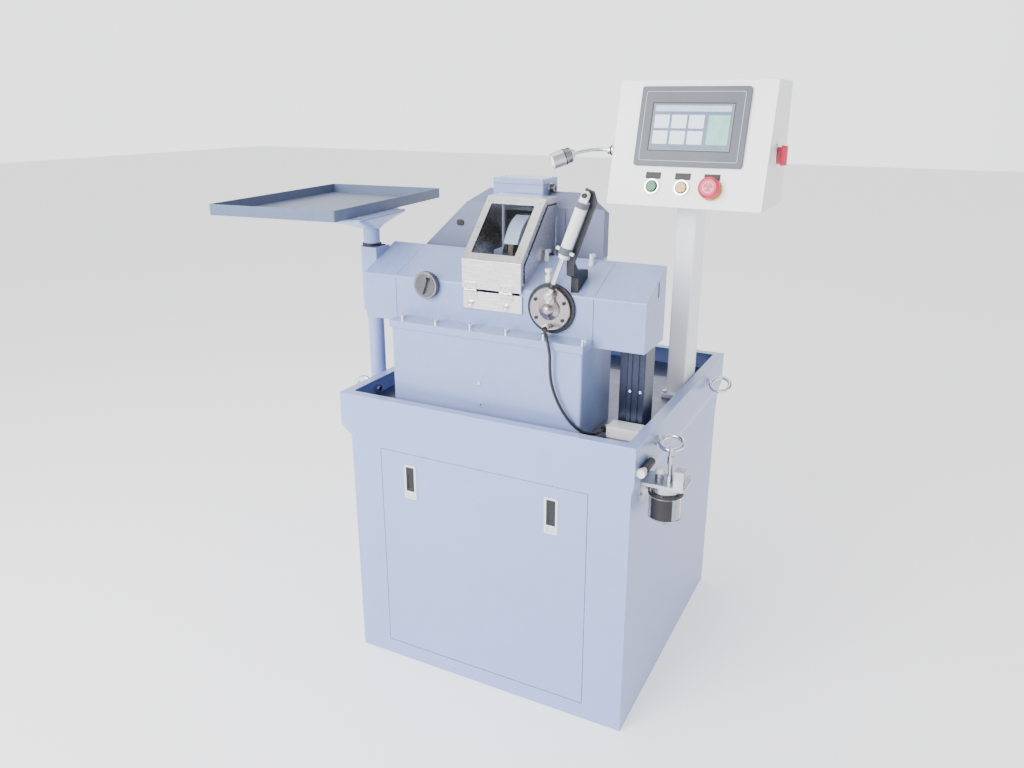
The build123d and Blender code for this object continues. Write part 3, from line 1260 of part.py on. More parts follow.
# Control box: folded case with a sloping panel and a rear cover
panel_lean = atan2(BOX_FRONT_HIGH - BOX_FRONT_LOW, BOX_TOP - BOX_BOTTOM)
panel = Plane(
    origin=(0, BOX_FRONT_LOW, BOX_BOTTOM), x_dir=(1, 0, 0), z_dir=(0, -cos(panel_lean), sin(panel_lean)),
)


def box_form(inset):
    with BuildPart() as form:
        with BuildSketch(at_x(BOX_LEFT + inset)):
            with BuildLine():
                Polyline(
                    (BOX_FRONT_LOW, BOX_BOTTOM), (BOX_BACK, BOX_BOTTOM), (BOX_BACK, BOX_TOP),
                    (BOX_FRONT_HIGH, BOX_TOP), close=True,
                )
            make_face()
            if inset:
                offset(amount=-inset, kind=Kind.INTERSECTION)
        extrude(amount=BOX_RIGHT - BOX_LEFT - 2 * inset)
    return form.part


COVER_THICK = 4.0
with BuildPart() as control_box:
    add(box_form(0))
    fillet(control_box.edges().filter_by(Axis.X).group_by(Axis.Y)[0], 2)
    add(box_form(SHEET), mode=Mode.SUBTRACT)
    block((BOX_LEFT, BOX_RIGHT), (BOX_BACK - COVER_THICK, BOX_BACK), (BOX_BOTTOM, BOX_TOP), Mode.SUBTRACT)
    with BuildSketch(panel):
        with Locations(BEZEL_CENTRE):
            Rectangle(BEZEL[0] - 16, BEZEL[1] - 12)
        with Locations(*[(x, BUTTON_S) for x in BUTTON_XS]):
            Circle(BUTTON_R + 1.4)
    extrude(amount=-2 * SHEET, mode=Mode.SUBTRACT)
save(control_box.part, "control_box")

with BuildPart() as control_box_back:
    block((BOX_LEFT, BOX_RIGHT), (BOX_BACK - COVER_THICK, BOX_BACK), (BOX_BOTTOM, BOX_TOP))
    fillet(control_box_back.edges().filter_by(Axis.Y), 3)
    with BuildSketch(at_y(BOX_BACK)):
        with Locations(*[((BOX_LEFT + BOX_RIGHT) / 2, BOX_BOTTOM + 40 + 9 * row) for row in range(6)]):
            SlotOverall(80, 3)
    extrude(amount=COVER_THICK, mode=Mode.SUBTRACT)
save(control_box_back.part, "control_box_back")

# Screen: bezel frame with its body behind the panel, and the glass
with BuildPart() as screen_bezel:
    with BuildSketch(panel):
        with Locations(BEZEL_CENTRE):
            RectangleRounded(*BEZEL, 5)
    extrude(amount=BEZEL_THICK)
    with BuildSketch(panel):
        with Locations(BEZEL_CENTRE):
            Rectangle(BEZEL[0] - 16, BEZEL[1] - 12)
    extrude(amount=-32)
    with BuildSketch(panel.offset(BEZEL_THICK)):
        with Locations(SCREEN_CENTRE):
            Rectangle(*SCREEN)
    extrude(amount=-3, mode=Mode.SUBTRACT)
save(screen_bezel.part, "screen_bezel")

with BuildPart() as screen:
    with BuildSketch(panel.offset(BEZEL_THICK - 3)):
        with Locations(SCREEN_CENTRE):
            Rectangle(*SCREEN)
    extrude(amount=2.2)
save(screen.part, "screen")


# Button rings with their switch bodies behind the panel
def button_ring(x):
    with BuildPart() as ring:
        with BuildSketch(panel):
            with Locations((x, BUTTON_S)):
                Circle(BUTTON_RING_R)
        extrude(amount=4)
        with BuildSketch(panel):
            with Locations((x, BUTTON_S)):
                Circle(BUTTON_R + 1.2)
        extrude(amount=-SHEET)
        with BuildSketch(panel.offset(-SHEET)):
            with Locations((x, BUTTON_S)):
                Rectangle(28, 28)
        extrude(amount=-32)
        with BuildSketch(panel.offset(4)):
            with Locations((x, BUTTON_S)):
                Circle(BUTTON_R + AIR)
        extrude(amount=-20, mode=Mode.SUBTRACT)
    return ring.part


SWITCH_BASE_R = 22.0
with BuildPart() as switch_base:
    bar((BOX_RIGHT, SWITCH_Y, SWITCH_Z), (BOX_RIGHT + 4, SWITCH_Y, SWITCH_Z), SWITCH_BASE_R)
    chamfer(switch_base.faces().sort_by(Axis.X)[-1].edges(), 1)
    bar((BOX_RIGHT, SWITCH_Y, SWITCH_Z), (BOX_RIGHT + 4, SWITCH_Y, SWITCH_Z), 4 + RUN, Mode.SUBTRACT)
save_group([*[button_ring(x) for x in BUTTON_XS], switch_base.part], "button_bezels")


def push_button(x):
    with BuildPart() as button:
        with BuildSketch(panel.offset(-16 + PANEL_STROKE + AIR)):
            with Locations((x, BUTTON_S)):
                Circle(BUTTON_R)
        extrude(amount=16 - PANEL_STROKE - AIR + 8)
        fillet(button.edges().sort_by(Axis.Y)[0], 1.2)
    return button.part


save(push_button(BUTTON_XS[0]), "green_button")
save(push_button(BUTTON_XS[1]), "yellow_button")
with BuildPart() as emergency_stop:
    add(push_button(BUTTON_XS[2]))
    with BuildSketch(panel.offset(4 + PANEL_STROKE + 1)):
        with Locations((BUTTON_XS[2], BUTTON_S)):
            Circle(15)
    with BuildSketch(panel.offset(13)):
        with Locations((BUTTON_XS[2], BUTTON_S)):
            Circle(20)
    loft()
    with BuildSketch(panel.offset(13)):
        with Locations((BUTTON_XS[2], BUTTON_S)):
            Circle(20)
    extrude(amount=5)
    with BuildSketch(panel.offset(18)):
        with Locations((BUTTON_XS[2], BUTTON_S)):
            Circle(20)
    extrude(amount=4, taper=50)
save(emergency_stop.part, "emergency_stop")

with BuildPart() as main_switch:
    knob_start = BOX_RIGHT + 4 + AIR
    bar((BOX_RIGHT + AIR, SWITCH_Y, SWITCH_Z), (knob_start + 4, SWITCH_Y, SWITCH_Z), 4)
    bar((knob_start, SWITCH_Y, SWITCH_Z), (knob_start + 5, SWITCH_Y, SWITCH_Z), 16)
    with BuildSketch(at_x(knob_start + 5)):
        with Locations((SWITCH_Y, SWITCH_Z)):
            SlotOverall(38, 12, rotation=90)
    extrude(amount=11, taper=6)
save(main_switch.part, "main_switch")

# Lamp: socket on the box side, gooseneck and shaded head
LAMP_BACK = (40.0, 15.0, 1050.6)
LAMP_FRONT = (9.0, -10.0, 1036.5)
LAMP_R = 16.0
NECK_R = 3.5
NECK_ROUTE = [
    (112.0, 50.0, 1058.0), (91.0, 50.0, 1059.0), (73.0, 42.0, 1058.5), (57.0, 29.0, 1055.5), LAMP_BACK,
]
with BuildPart() as lamp:
    bar((BOX_LEFT, 50, 1058), (BOX_LEFT - 3, 50, 1058), 14)
    bar((BOX_LEFT - 3, 50, 1058), (BOX_LEFT - 14, 50, 1058), 8)
    with BuildLine():
        FilletPolyline(*NECK_ROUTE, radius=[30, 30, 30])
    with BuildSketch(Plane(origin=NECK_ROUTE[0], z_dir=Vector(*NECK_ROUTE[1]) - Vector(*NECK_ROUTE[0]))):
        Circle(NECK_R)
    sweep()
    lamp_axis = Vector(*LAMP_FRONT) - Vector(*LAMP_BACK)
    lamp_plane = Plane(origin=LAMP_BACK, z_dir=lamp_axis)
    with Locations(lamp_plane.offset(-6)):
        Cone(7, 12, 8, align=(Align.CENTER, Align.CENTER, Align.MIN))
    with Locations(lamp_plane.offset(2)):
        Cylinder(LAMP_R - 2, 12, align=(Align.CENTER, Align.CENTER, Align.MIN))
    with Locations(lamp_plane.offset(14)):
        Cylinder(LAMP_R, lamp_axis.length - 14, align=(Align.CENTER, Align.CENTER, Align.MIN))
    with Locations(lamp_plane.offset(lamp_axis.length - 3)):
        Cylinder(LAMP_R - 3, 3, align=(Align.CENTER, Align.CENTER, Align.MIN), mode=Mode.SUBTRACT)
save(lamp.part, "lamp")

# Air filter on the cabinet's right side: bracket, head, inlet nipple and bowl
arm_top = FILTER_ARM_Z + 6
with BuildPart() as filter_bracket:
    block((RIGHT, RIGHT + 3), (FILTER_Y - 27, FILTER_Y + 27), (470, arm_top))
    with BuildSketch(at_z(FILTER_ARM_Z)):
        with Locations(((RIGHT + FILTER_X + 39) / 2, FILTER_Y)):
            RectangleRounded(FILTER_X + 39 - RIGHT, 54, 6)
    extrude(amount=6)
    bar((FILTER_X - 13, FILTER_Y, arm_top), (FILTER_X - 13, FILTER_Y, arm_top + 12), 8)
    fillet(filter_bracket.edges().filter_by(GeomType.CIRCLE).sort_by(Axis.Z)[-1], 4)
    block((FILTER_X + 15, FILTER_X + 33), (FILTER_Y - 11, FILTER_Y + 11), (arm_top, arm_top + 24))
    bar((FILTER_X, FILTER_Y, BOWL_TOP), (FILTER_X, FILTER_Y, FILTER_ARM_Z), BOWL_R - 3)
    add(tub_form(0), mode=Mode.SUBTRACT)
with BuildPart() as inlet_nipple:
    nipple_x = FILTER_X + 5
    bar((nipple_x, FILTER_Y, arm_top), (nipple_x, FILTER_Y, arm_top + 66), 4)
    with BuildSketch(at_z(arm_top)):
        with Locations((nipple_x, FILTER_Y)):
            RegularPolygon(4.9, 6)
    extrude(amount=10)
    bar((nipple_x, FILTER_Y, arm_top + 34), (nipple_x, FILTER_Y, arm_top + 48), 6)
save_group([filter_bracket.part, inlet_nipple.part], "filter_head")

with BuildPart() as filter_bowl:
    bowl_base = BOWL_TOP - BOWL_HEIGHT
    bowl_out = FILTER_X + BOWL_R
    with BuildSketch(Plane.XZ.offset(-FILTER_Y)):
        with BuildLine():
            Polyline(
                (FILTER_X, bowl_base), (bowl_out - 8, bowl_base), (bowl_out, bowl_base + 8),
                (bowl_out, BOWL_TOP), (bowl_out - 3, BOWL_TOP), (bowl_out - 3, bowl_base + 9),
                (bowl_out - 9, bowl_base + 3),
                (FILTER_X, bowl_base + 3), close=True,
            )
        make_face()
    revolve(axis=Axis((FILTER_X, FILTER_Y, 0), (0, 0, 1)))
    bar((FILTER_X, FILTER_Y, bowl_base - 9), (FILTER_X, FILTER_Y, bowl_base), 6)
    bar((FILTER_X, FILTER_Y, bowl_base + 3), (FILTER_X, FILTER_Y, BOWL_TOP), 13)
save(filter_bowl.part, "filter_bowl")

# Air fittings: slide valve body, manifold, elbows, flange ports and needle valve
valve_ends = (VALVE_Y - 35, VALVE_Y + 35)
with BuildPart() as valve_body:
    bar((VALVE_X, valve_ends[0], VALVE_Z), (VALVE_X, valve_ends[1], VALVE_Z), VALVE_R - 2.5)
    for start, end in ((valve_ends[0], valve_ends[0] + 10), (valve_ends[1] - 10, valve_ends[1])):
        bar((VALVE_X, start, VALVE_Z), (VALVE_X, end, VALVE_Z), VALVE_R)
        block((RIM_RIGHT, VALVE_X), (start, end), (VALVE_Z - 6, VALVE_Z + 6))
with BuildPart() as manifold:
    block((212, 276), (-200, -160), (BED_TOP, BED_TOP + 20))
    chamfer(manifold.edges().filter_by(Axis.Z), 2)
    chamfer(manifold.faces().sort_by(Axis.Z)[-1].edges(), 1)
    hose_end = HOSE_ROUTE[-1]
    last_run = (Vector(*hose_end) - Vector(*HOSE_ROUTE[-2])).normalized()
    elbow = Vector(*hose_end) + last_run * 14
    bar(hose_end, tuple(Vector(*hose_end) + last_run * 8), 5.5)
    bar(tuple(Vector(*hose_end) + last_run * 8), tuple(elbow), 4.5)
    bar(tuple(elbow), (214, elbow.Y, elbow.Z), 4.5)
    with Locations(tuple(elbow)):
        Sphere(4.5)


def beam_elbow(x, y, height):
    base = beam_height(y)
    with BuildPart() as elbow:
        bar((x, y, base - 6), (x, y, base + 6), 5)
        bar((x, y, base + 6), (x, y, base + height), 4)
        bar((x, y, base + height - 4), (x, y + 10, base + height - 4), 4)
        add(beam_length(BEAM_SEAM_LEFT, BEAM_SEAM_RIGHT), mode=Mode.SUBTRACT)
    return elbow.part


NEEDLE_X = 90.0
NEEDLE_Y = -197.0
with BuildPart() as needle_valve:
    bar((NEEDLE_X, NEEDLE_Y, BEAM_RIDGE - 6), (NEEDLE_X, NEEDLE_Y, 838), 5)
    bar((NEEDLE_X, NEEDLE_Y, 838), (NEEDLE_X, NEEDLE_Y, 850), 6)
    bar((NEEDLE_X, NEEDLE_Y, 850), (NEEDLE_X, NEEDLE_Y, 860), 3)
    bar((NEEDLE_X, NEEDLE_Y, 856), (NEEDLE_X, NEEDLE_Y, 862), 6.5)
    add(beam_length(BEAM_SEAM_LEFT, BEAM_SEAM_RIGHT), mode=Mode.SUBTRACT)
port_face = BEAM_FRONT - FLANGE_THICK - FACE_THICK
with BuildPart() as flange_port:
    exit_run = Vector(*HOSE_ROUTE[0]) - Vector(*HOSE_ROUTE[1])
    exit_back = Vector(*HOSE_ROUTE[0]) + exit_run.normalized() * 11
    bar((95, port_face, 758), (95, port_face - 6, 758), 5.5)
    bar(tuple(exit_back), HOSE_ROUTE[0], 4.2)
    add(clamp_flange.part, mode=Mode.SUBTRACT)
save_group(
    [valve_body.part, manifold.part, beam_elbow(46, -110, 20), beam_elbow(139, -112, 20),
     needle_valve.part, flange_port.part],
    "air_fittings",
)

with BuildPart() as valve_sleeve:
    sleeve_back = valve_ends[1] - 10 - AIR
    sleeve_front = (VALVE_X, sleeve_back - 40, VALVE_Z)
    bar(sleeve_front, (VALVE_X, sleeve_back, VALVE_Z), VALVE_R - 0.4)
    bar(sleeve_front, (VALVE_X, sleeve_back, VALVE_Z), VALVE_R - 2.5 + RUN, Mode.SUBTRACT)
save(valve_sleeve.part, "valve_sleeve")

# Air hose: straight runs joined by tangent arcs
hose_radii = []
for before, corner, after in zip(HOSE_ROUTE, HOSE_ROUTE[1:], HOSE_ROUTE[2:]):
    run_in = Vector(*corner) - Vector(*before)
    run_out = Vector(*after) - Vector(*corner)
    turn = radians(run_in.get_angle(run_out))
    hose_radii.append(0.45 * min(run_in.length, run_out.length) / tan(turn / 2))
with BuildPart() as air_hose:
    with BuildLine():
        hose_line = FilletPolyline(*HOSE_ROUTE, radius=hose_radii)
    with BuildSketch(Plane(origin=HOSE_ROUTE[0], z_dir=Vector(*HOSE_ROUTE[1]) - Vector(*HOSE_ROUTE[0]))):
        Circle(HOSE_R)
    sweep()
print("hose radii", [round(radius, 1) for radius in hose_radii])
volume_ratio = air_hose.part.volume / (pi * HOSE_R ** 2 * hose_line.length)
print("hose length", round(hose_line.length, 1), "volume ratio", round(volume_ratio, 4))
save(air_hose.part, "air_hose")
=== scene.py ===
# %% [markdown]
# # A lens centering machine
# This lesson dresses the machine whose solids are already packed: a painted cabinet
# with a coolant trough, a grinding head with a guarded lens chuck, and a control box
# on a post. The solids stay as they are. We give them finishes, and add the small
# pieces that a maker screws, glues or plugs on afterwards.
# %% Load the frame
from math import atan2, cos, pi, radians, sin, tan

import bmesh
import bpy
from mathutils import Matrix, Vector


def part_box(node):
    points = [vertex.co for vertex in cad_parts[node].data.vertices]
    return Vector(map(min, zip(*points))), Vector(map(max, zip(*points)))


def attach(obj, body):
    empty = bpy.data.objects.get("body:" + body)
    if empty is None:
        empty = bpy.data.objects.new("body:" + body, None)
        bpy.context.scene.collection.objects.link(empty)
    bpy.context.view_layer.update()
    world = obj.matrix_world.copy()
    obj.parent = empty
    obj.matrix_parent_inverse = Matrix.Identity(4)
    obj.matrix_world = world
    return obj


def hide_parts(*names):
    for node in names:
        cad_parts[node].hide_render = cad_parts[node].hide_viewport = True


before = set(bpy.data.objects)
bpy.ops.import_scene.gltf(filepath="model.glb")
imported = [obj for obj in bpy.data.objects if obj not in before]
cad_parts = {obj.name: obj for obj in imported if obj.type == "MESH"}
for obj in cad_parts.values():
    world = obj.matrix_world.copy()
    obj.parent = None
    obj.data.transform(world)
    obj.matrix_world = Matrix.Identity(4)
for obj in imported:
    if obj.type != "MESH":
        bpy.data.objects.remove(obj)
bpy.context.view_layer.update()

# %% [markdown]
# ## The camera
# The photograph was taken from the operator's right, at about the height of the control
# box. We could aim a camera at the object by eye, but a fitted position and turn keep
# every edge where the photograph has it. The lens is a mild wide angle.
# %% Set the camera
PHOTO_WIDTH, PHOTO_HEIGHT = 1024, 768
FOCAL_PIXELS = 823.06
CENTRE_PIXELS = (517.63, 366.85)
CAMERA_PLACE = (0.7046, -1.5366, 1.1541)
CAMERA_TURN = (71.975, -0.11, 26.855)

camera_data = bpy.data.cameras.new("photo_camera")
camera_data.sensor_width = 36.0
camera_data.lens = camera_data.sensor_width * FOCAL_PIXELS / PHOTO_WIDTH
camera_data.shift_x = (PHOTO_WIDTH / 2 - CENTRE_PIXELS[0]) / PHOTO_WIDTH
camera_data.shift_y = (CENTRE_PIXELS[1] - PHOTO_HEIGHT / 2) / PHOTO_WIDTH
camera = bpy.data.objects.new("photo_camera", camera_data)
camera.location = CAMERA_PLACE
camera.rotation_euler = [radians(angle) for angle in CAMERA_TURN]
bpy.context.scene.collection.objects.link(camera)
bpy.context.scene.camera = camera
print("lens:", round(camera_data.lens, 2), "mm")

# %% [markdown]
# ## The air hose
# A thin black air tube drops from the clamp's front fitting and curls into the trough.
# A smooth NURBS spline through a few listed points bends like real tube, where a
# chain of straight runs would look like wire. Its points are the route of the solid.
# Each point holds the tube's radius and the bevel depth stays 1, because Blender counts
# a point's radius in the curve's size.
# %% Lay the air hose
HOSE_RADIUS = 0.00275
hose_points = [
    (0.0990, -0.2310, 0.7570), (0.1050, -0.2435, 0.7555), (0.1135, -0.2550, 0.7490),
    (0.1210, -0.2610, 0.7360), (0.1240, -0.2605, 0.7180), (0.1230, -0.2590, 0.6960),
    (0.1255, -0.2580, 0.6680), (0.1340, -0.2570, 0.6410), (0.1485, -0.2565, 0.6150),
    (0.1670, -0.2560, 0.5935), (0.1860, -0.2490, 0.5790), (0.1990, -0.2310, 0.5715),
    (0.2055, -0.2100, 0.5690), (0.2065, -0.1920, 0.5690),
]


def tube_line(name, points, radius, roundness):
    """A smooth tube through a few points, drawn as a curve with a round bevel."""
    line = bpy.data.curves.new(name, "CURVE")
    line.dimensions = "3D"
    spline = line.splines.new("NURBS")
    spline.points.add(len(points) - 1)
    for spline_point, place in zip(spline.points, points):
        spline_point.co = (*place, 1.0)
        spline_point.radius = radius
    spline.order_u = 3
    spline.use_endpoint_u = True
    spline.resolution_u = 12
    line.bevel_depth = 1.0
    line.bevel_resolution = roundness
    line.use_fill_caps = True
    tube = bpy.data.objects.new(name, line)
    bpy.context.scene.collection.objects.link(tube)
    return tube


hose = tube_line("clamp_air_hose", hose_points, HOSE_RADIUS, 6)
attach(hose, "machine")
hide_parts("air_hose")
print("hose points:", len(hose_points))

# %% [markdown]
# ## Floor and light
# The photograph is a cut-out on white under very even light, so we use a pale floor that
# glows a little, a bright plain sky and three large soft lamps. The sky dims overhead and
# towards the right. The front then gets the most light and the right side less, which is
# what separates the two painted faces.
# %% Lay the floor
FLOOR_GLOW = 0.75
bpy.ops.mesh.primitive_plane_add(size=30.0, location=(0, 0, -0.0005))
floor = bpy.context.object
floor.name = "studio_floor"

floor_paint = bpy.data.materials.new("studio_floor_paint")
floor_paint.use_nodes = True
floor_shader = floor_paint.node_tree.nodes["Principled BSDF"]
floor_shader.inputs["Base Color"].default_value = (0.93, 0.93, 0.94, 1)
floor_shader.inputs["Emission Color"].default_value = (0.97, 0.97, 1.0, 1)
floor_shader.inputs["Emission Strength"].default_value = FLOOR_GLOW
floor_shader.inputs["Roughness"].default_value = 0.9
floor.data.materials.append(floor_paint)


# %% [markdown]
# ### A sky that dims
# Shader nodes are added and linked many times in this lesson, so three small helpers come
# first. Two Map Range nodes then turn a direction in the sky into its strength: one counts
# how far it lies to the right, the other how high it is.
# %% Helpers for shader nodes
def add_node(tree, kind, settings=None, **values):
    """A node with its settings, and its input sockets set by name."""
    node = tree.nodes.new(kind)
    for key, value in (settings or {}).items():
        setattr(node, key, value)
    for key, value in values.items():
        node.inputs[key].default_value = value
    return node


def add_range(tree, low, high, to_low=0.0, to_high=1.0):
    """A node that maps the span from low to high onto another span."""
    return add_node(tree, "ShaderNodeMapRange", None, **{
        "From Min": low, "From Max": high, "To Min": to_low, "To Max": to_high})


def wire(tree, *runs):
    """Link sockets. Each run is (node, output, node, input)."""
    for source, output, target, socket in runs:
        tree.links.new(source.outputs[output], target.inputs[socket])


# %% Shade the sky
SKY_LEFT, SKY_RIGHT, OVERHEAD = 2.5, 0.50, 0.30
sky = bpy.data.worlds.new("studio_sky")
bpy.context.scene.world = sky
sky.use_nodes = True
backdrop = sky.node_tree.nodes["Background"]
backdrop.inputs["Color"].default_value = (0.97, 0.98, 1.0, 1)
sky_place = add_node(sky.node_tree, "ShaderNodeTexCoord")
sky_parts = add_node(sky.node_tree, "ShaderNodeSeparateXYZ")
side_shade = add_range(sky.node_tree, 0.0, 0.9, SKY_LEFT, SKY_RIGHT)
ceiling_shade = add_range(sky.node_tree, 0.25, 0.85, 1.0, OVERHEAD)
sky_strength = add_node(sky.node_tree, "ShaderNodeMath", {"operation": "MULTIPLY"})
wire(
    sky.node_tree,
    (sky_place, "Generated", sky_parts, "Vector"), (sky_parts, "X", side_shade, "Value"),
    (sky_parts, "Z", ceiling_shade, "Value"), (side_shade, "Result", sky_strength, 0),
    (ceiling_shade, "Result", sky_strength, 1), (sky_strength, "Value", backdrop, "Strength"),
)


# %% Hang the lamps
def soft_lamp(name, place, aim, size, power):
    """A square area lamp that points from its place to its aim."""
    lamp_data = bpy.data.lights.new(name, "AREA")
    lamp_data.shape = "SQUARE"
    lamp_data.size = size
    lamp_data.energy = power
    lamp = bpy.data.objects.new(name, lamp_data)
    lamp.location = place
    lamp.rotation_euler = (Vector(aim) - Vector(place)).to_track_quat("-Z", "Y").to_euler()
    bpy.context.scene.collection.objects.link(lamp)


soft_lamp("front_softbox", (-0.9, -2.6, 1.9), (0, 0, 0.6), 1.8, 135)
soft_lamp("right_softbox", (2.6, -0.8, 1.6), (0, 0, 0.6), 1.6, 8)
soft_lamp("top_softbox", (-0.3, 0.2, 3.2), (0, 0, 0.8), 2.2, 26)
print("lamps hung: 3")

# %% [markdown]
# ## Shared finishes
# Paint, brushed steel and moulded plastic share a few surface effects. Each effect is a
# node group that is built once, so that all materials wear and weather the same way.
# The groups put out masks, colours and normals only, and the shader that uses them
# stays in its own material.
# %% Helper for building node groups
def new_group(name, inputs, outputs):
    """An empty node group with named sockets. Inputs are (name, kind, default)."""
    group = bpy.data.node_groups.new(name, "ShaderNodeTree")
    for socket_name, kind, default in inputs:
        socket = group.interface.new_socket(socket_name, in_out="INPUT", socket_type=kind)
        if default is not None:
            socket.default_value = default
    for socket_name, kind in outputs:
        group.interface.new_socket(socket_name, in_out="OUTPUT", socket_type=kind)
    start = group.nodes.new("NodeGroupInput")
    end = group.nodes.new("NodeGroupOutput")
    return group, start, end


# %% [markdown]
# ### Rounded edges
# Sheet metal and castings never have knife edges. Cutting a bevel into every solid would
# be slow, so a Bevel node bends the normal near each edge instead, and the light catches it.
# %% Group: rounded edge
rounded_edge, start, end = new_group(
    "rounded_edge",
    [("Radius", "NodeSocketFloat", 0.001)],
    [("Normal", "NodeSocketVector")],
)
bevel = add_node(rounded_edge, "ShaderNodeBevel", {"samples": 6})
wire(
    rounded_edge,
    (start, "Radius", bevel, "Radius"), (bevel, "Normal", end, "Normal"),
)

# %% [markdown]
# ### Edge wear
# Paint thins where hands and tools rub the corners. We compare the bent normal with the
# true one: they differ only near edges, and a noise breaks the line up.
# %% Group: edge wear
edge_wear, start, end = new_group(
    "edge_wear",
    [("Radius", "NodeSocketFloat", 0.002), ("Amount", "NodeSocketFloat", 0.3),
     ("Patch Size", "NodeSocketFloat", 60.0)],
    [("Mask", "NodeSocketFloat")],
)
bevel = add_node(edge_wear, "ShaderNodeBevel", {"samples": 6})
surface = add_node(edge_wear, "ShaderNodeNewGeometry")
alike = add_node(edge_wear, "ShaderNodeVectorMath", {"operation": "DOT_PRODUCT"})
bent = add_range(edge_wear, 0.995, 0.80)
place = add_node(edge_wear, "ShaderNodeTexCoord")
patches = add_node(edge_wear, "ShaderNodeTexNoise", None, Detail=6.0, Roughness=0.7)
broken = add_range(edge_wear, 0.48, 0.66)
worn = add_node(edge_wear, "ShaderNodeMath", {"operation": "MULTIPLY"})
scaled = add_node(edge_wear, "ShaderNodeMath", {"operation": "MULTIPLY", "use_clamp": True})
wire(
    edge_wear,
    (start, "Radius", bevel, "Radius"), (start, "Patch Size", patches, "Scale"),
    (place, "Object", patches, "Vector"), (bevel, "Normal", alike, 0),
    (surface, "Normal", alike, 1), (alike, "Value", bent, "Value"),
    (patches, "Fac", broken, "Value"), (bent, "Result", worn, 0), (broken, "Result", worn, 1),
    (worn, "Value", scaled, 0), (start, "Amount", scaled, 1), (scaled, "Value", end, "Mask"),
)

# %% [markdown]
# ### Settled dust
# A workshop machine gathers dust on faces that look up. The mask takes the upward part
# of the normal and thins it with a slow noise.
# %% Group: settled dust
settled_dust, start, end = new_group(
    "settled_dust",
    [("Amount", "NodeSocketFloat", 0.15)],
    [("Mask", "NodeSocketFloat")],
)
surface = add_node(settled_dust, "ShaderNodeNewGeometry")
parts = add_node(settled_dust, "ShaderNodeSeparateXYZ")
upward = add_range(settled_dust, 0.6, 1.0)
place = add_node(settled_dust, "ShaderNodeTexCoord")
clouds = add_node(settled_dust, "ShaderNodeTexNoise", None, Scale=14.0, Detail=5.0)
thin = add_node(settled_dust, "ShaderNodeMath", {"operation": "MULTIPLY"})
scaled = add_node(settled_dust, "ShaderNodeMath", {"operation": "MULTIPLY", "use_clamp": True})
wire(
    settled_dust,
    (surface, "Normal", parts, "Vector"), (parts, "Z", upward, "Value"),
    (place, "Object", clouds, "Vector"), (upward, "Result", thin, 0), (clouds, "Fac", thin, 1),
    (thin, "Value", scaled, 0), (start, "Amount", scaled, 1), (scaled, "Value", end, "Mask"),
)

# %% [markdown]
# ### Mottled colour
# Sprayed paint and cast plastic drift a little in tone. Two noises of different size
# shift one colour towards a second, close one.
# %% Group: mottled colour
mottled_colour, start, end = new_group(
    "mottled_colour",
    [("Colour", "NodeSocketColor", (0.5, 0.5, 0.5, 1)), ("Shade", "NodeSocketColor", (0.4, 0.4, 0.4, 1)),
     ("Scale", "NodeSocketFloat", 8.0), ("Amount", "NodeSocketFloat", 0.5)],
    [("Colour", "NodeSocketColor"), ("Mask", "NodeSocketFloat")],
)
place = add_node(mottled_colour, "ShaderNodeTexCoord")
broad = add_node(mottled_colour, "ShaderNodeTexNoise", None, Detail=3.0, Roughness=0.55)
finer = add_node(mottled_colour, "ShaderNodeMath", {"operation": "MULTIPLY"})
finer.inputs[1].default_value = 9.0
fine = add_node(mottled_colour, "ShaderNodeTexNoise", None, Detail=5.0, Roughness=0.6)
both = add_node(mottled_colour, "ShaderNodeMath", {"operation": "ADD"})
spread = add_range(mottled_colour, 0.75, 1.25)
share = add_node(mottled_colour, "ShaderNodeMath", {"operation": "MULTIPLY", "use_clamp": True})
blended = add_node(mottled_colour, "ShaderNodeMix", {"data_type": "RGBA"})
wire(
    mottled_colour,
    (place, "Object", broad, "Vector"), (place, "Object", fine, "Vector"),
    (start, "Scale", broad, "Scale"), (start, "Scale", finer, 0), (finer, "Value", fine, "Scale"),
    (broad, "Fac", both, 0), (fine, "Fac", both, 1), (both, "Value", spread, "Value"),
    (spread, "Result", share, 0), (start, "Amount", share, 1), (share, "Value", blended, "Factor"),
    (start, "Colour", blended, "A"), (start, "Shade", blended, "B"),
    (blended, "Result", end, "Colour"), (share, "Value", end, "Mask"),
)

# %% [markdown]
# ### Fine grain
# One noise stretched along an axis does for two finishes: even stretch gives the orange
# peel of paint and the grain of plastic, and a long stretch gives the lines of a brush.
# %% Group: fine grain
fine_grain, start, end = new_group(
    "fine_grain",
    [("Stretch", "NodeSocketVector", (1, 1, 1)), ("Scale", "NodeSocketFloat", 400.0)],
    [("Height", "NodeSocketFloat"), ("Mask", "NodeSocketFloat")],
)
place = add_node(fine_grain, "ShaderNodeTexCoord")
stretched = add_node(fine_grain, "ShaderNodeVectorMath", {"operation": "MULTIPLY"})
grain = add_node(fine_grain, "ShaderNodeTexNoise", None, Detail=4.0, Roughness=0.6)
contrast = add_range(fine_grain, 0.3, 0.7)
wire(
    fine_grain,
    (place, "Object", stretched, 0), (start, "Stretch", stretched, 1),
    (stretched, "Vector", grain, "Vector"), (start, "Scale", grain, "Scale"),
    (grain, "Fac", end, "Height"), (grain, "Fac", contrast, "Value"),
    (contrast, "Result", end, "Mask"),
)
print("groups:", len(bpy.data.node_groups))


# %% [markdown]
# ### Materials from the groups
# Each finish is one Principled shader with the groups plugged in. A helper wires them the
# same way every time: colour drifts and wears at the edges, roughness follows the grain,
# and the bump rides on the rounded edge.
# %% Helpers for finishes
DUST_TONE = (0.62, 0.61, 0.60)
COAT_ROUGHNESS = 0.12
RELIEF = 0.0004


def place_group(tree, group, **values):
    """An instance of a shared group with its inputs set by name."""
    return add_node(tree, "ShaderNodeGroup", {"node_tree": group}, **values)


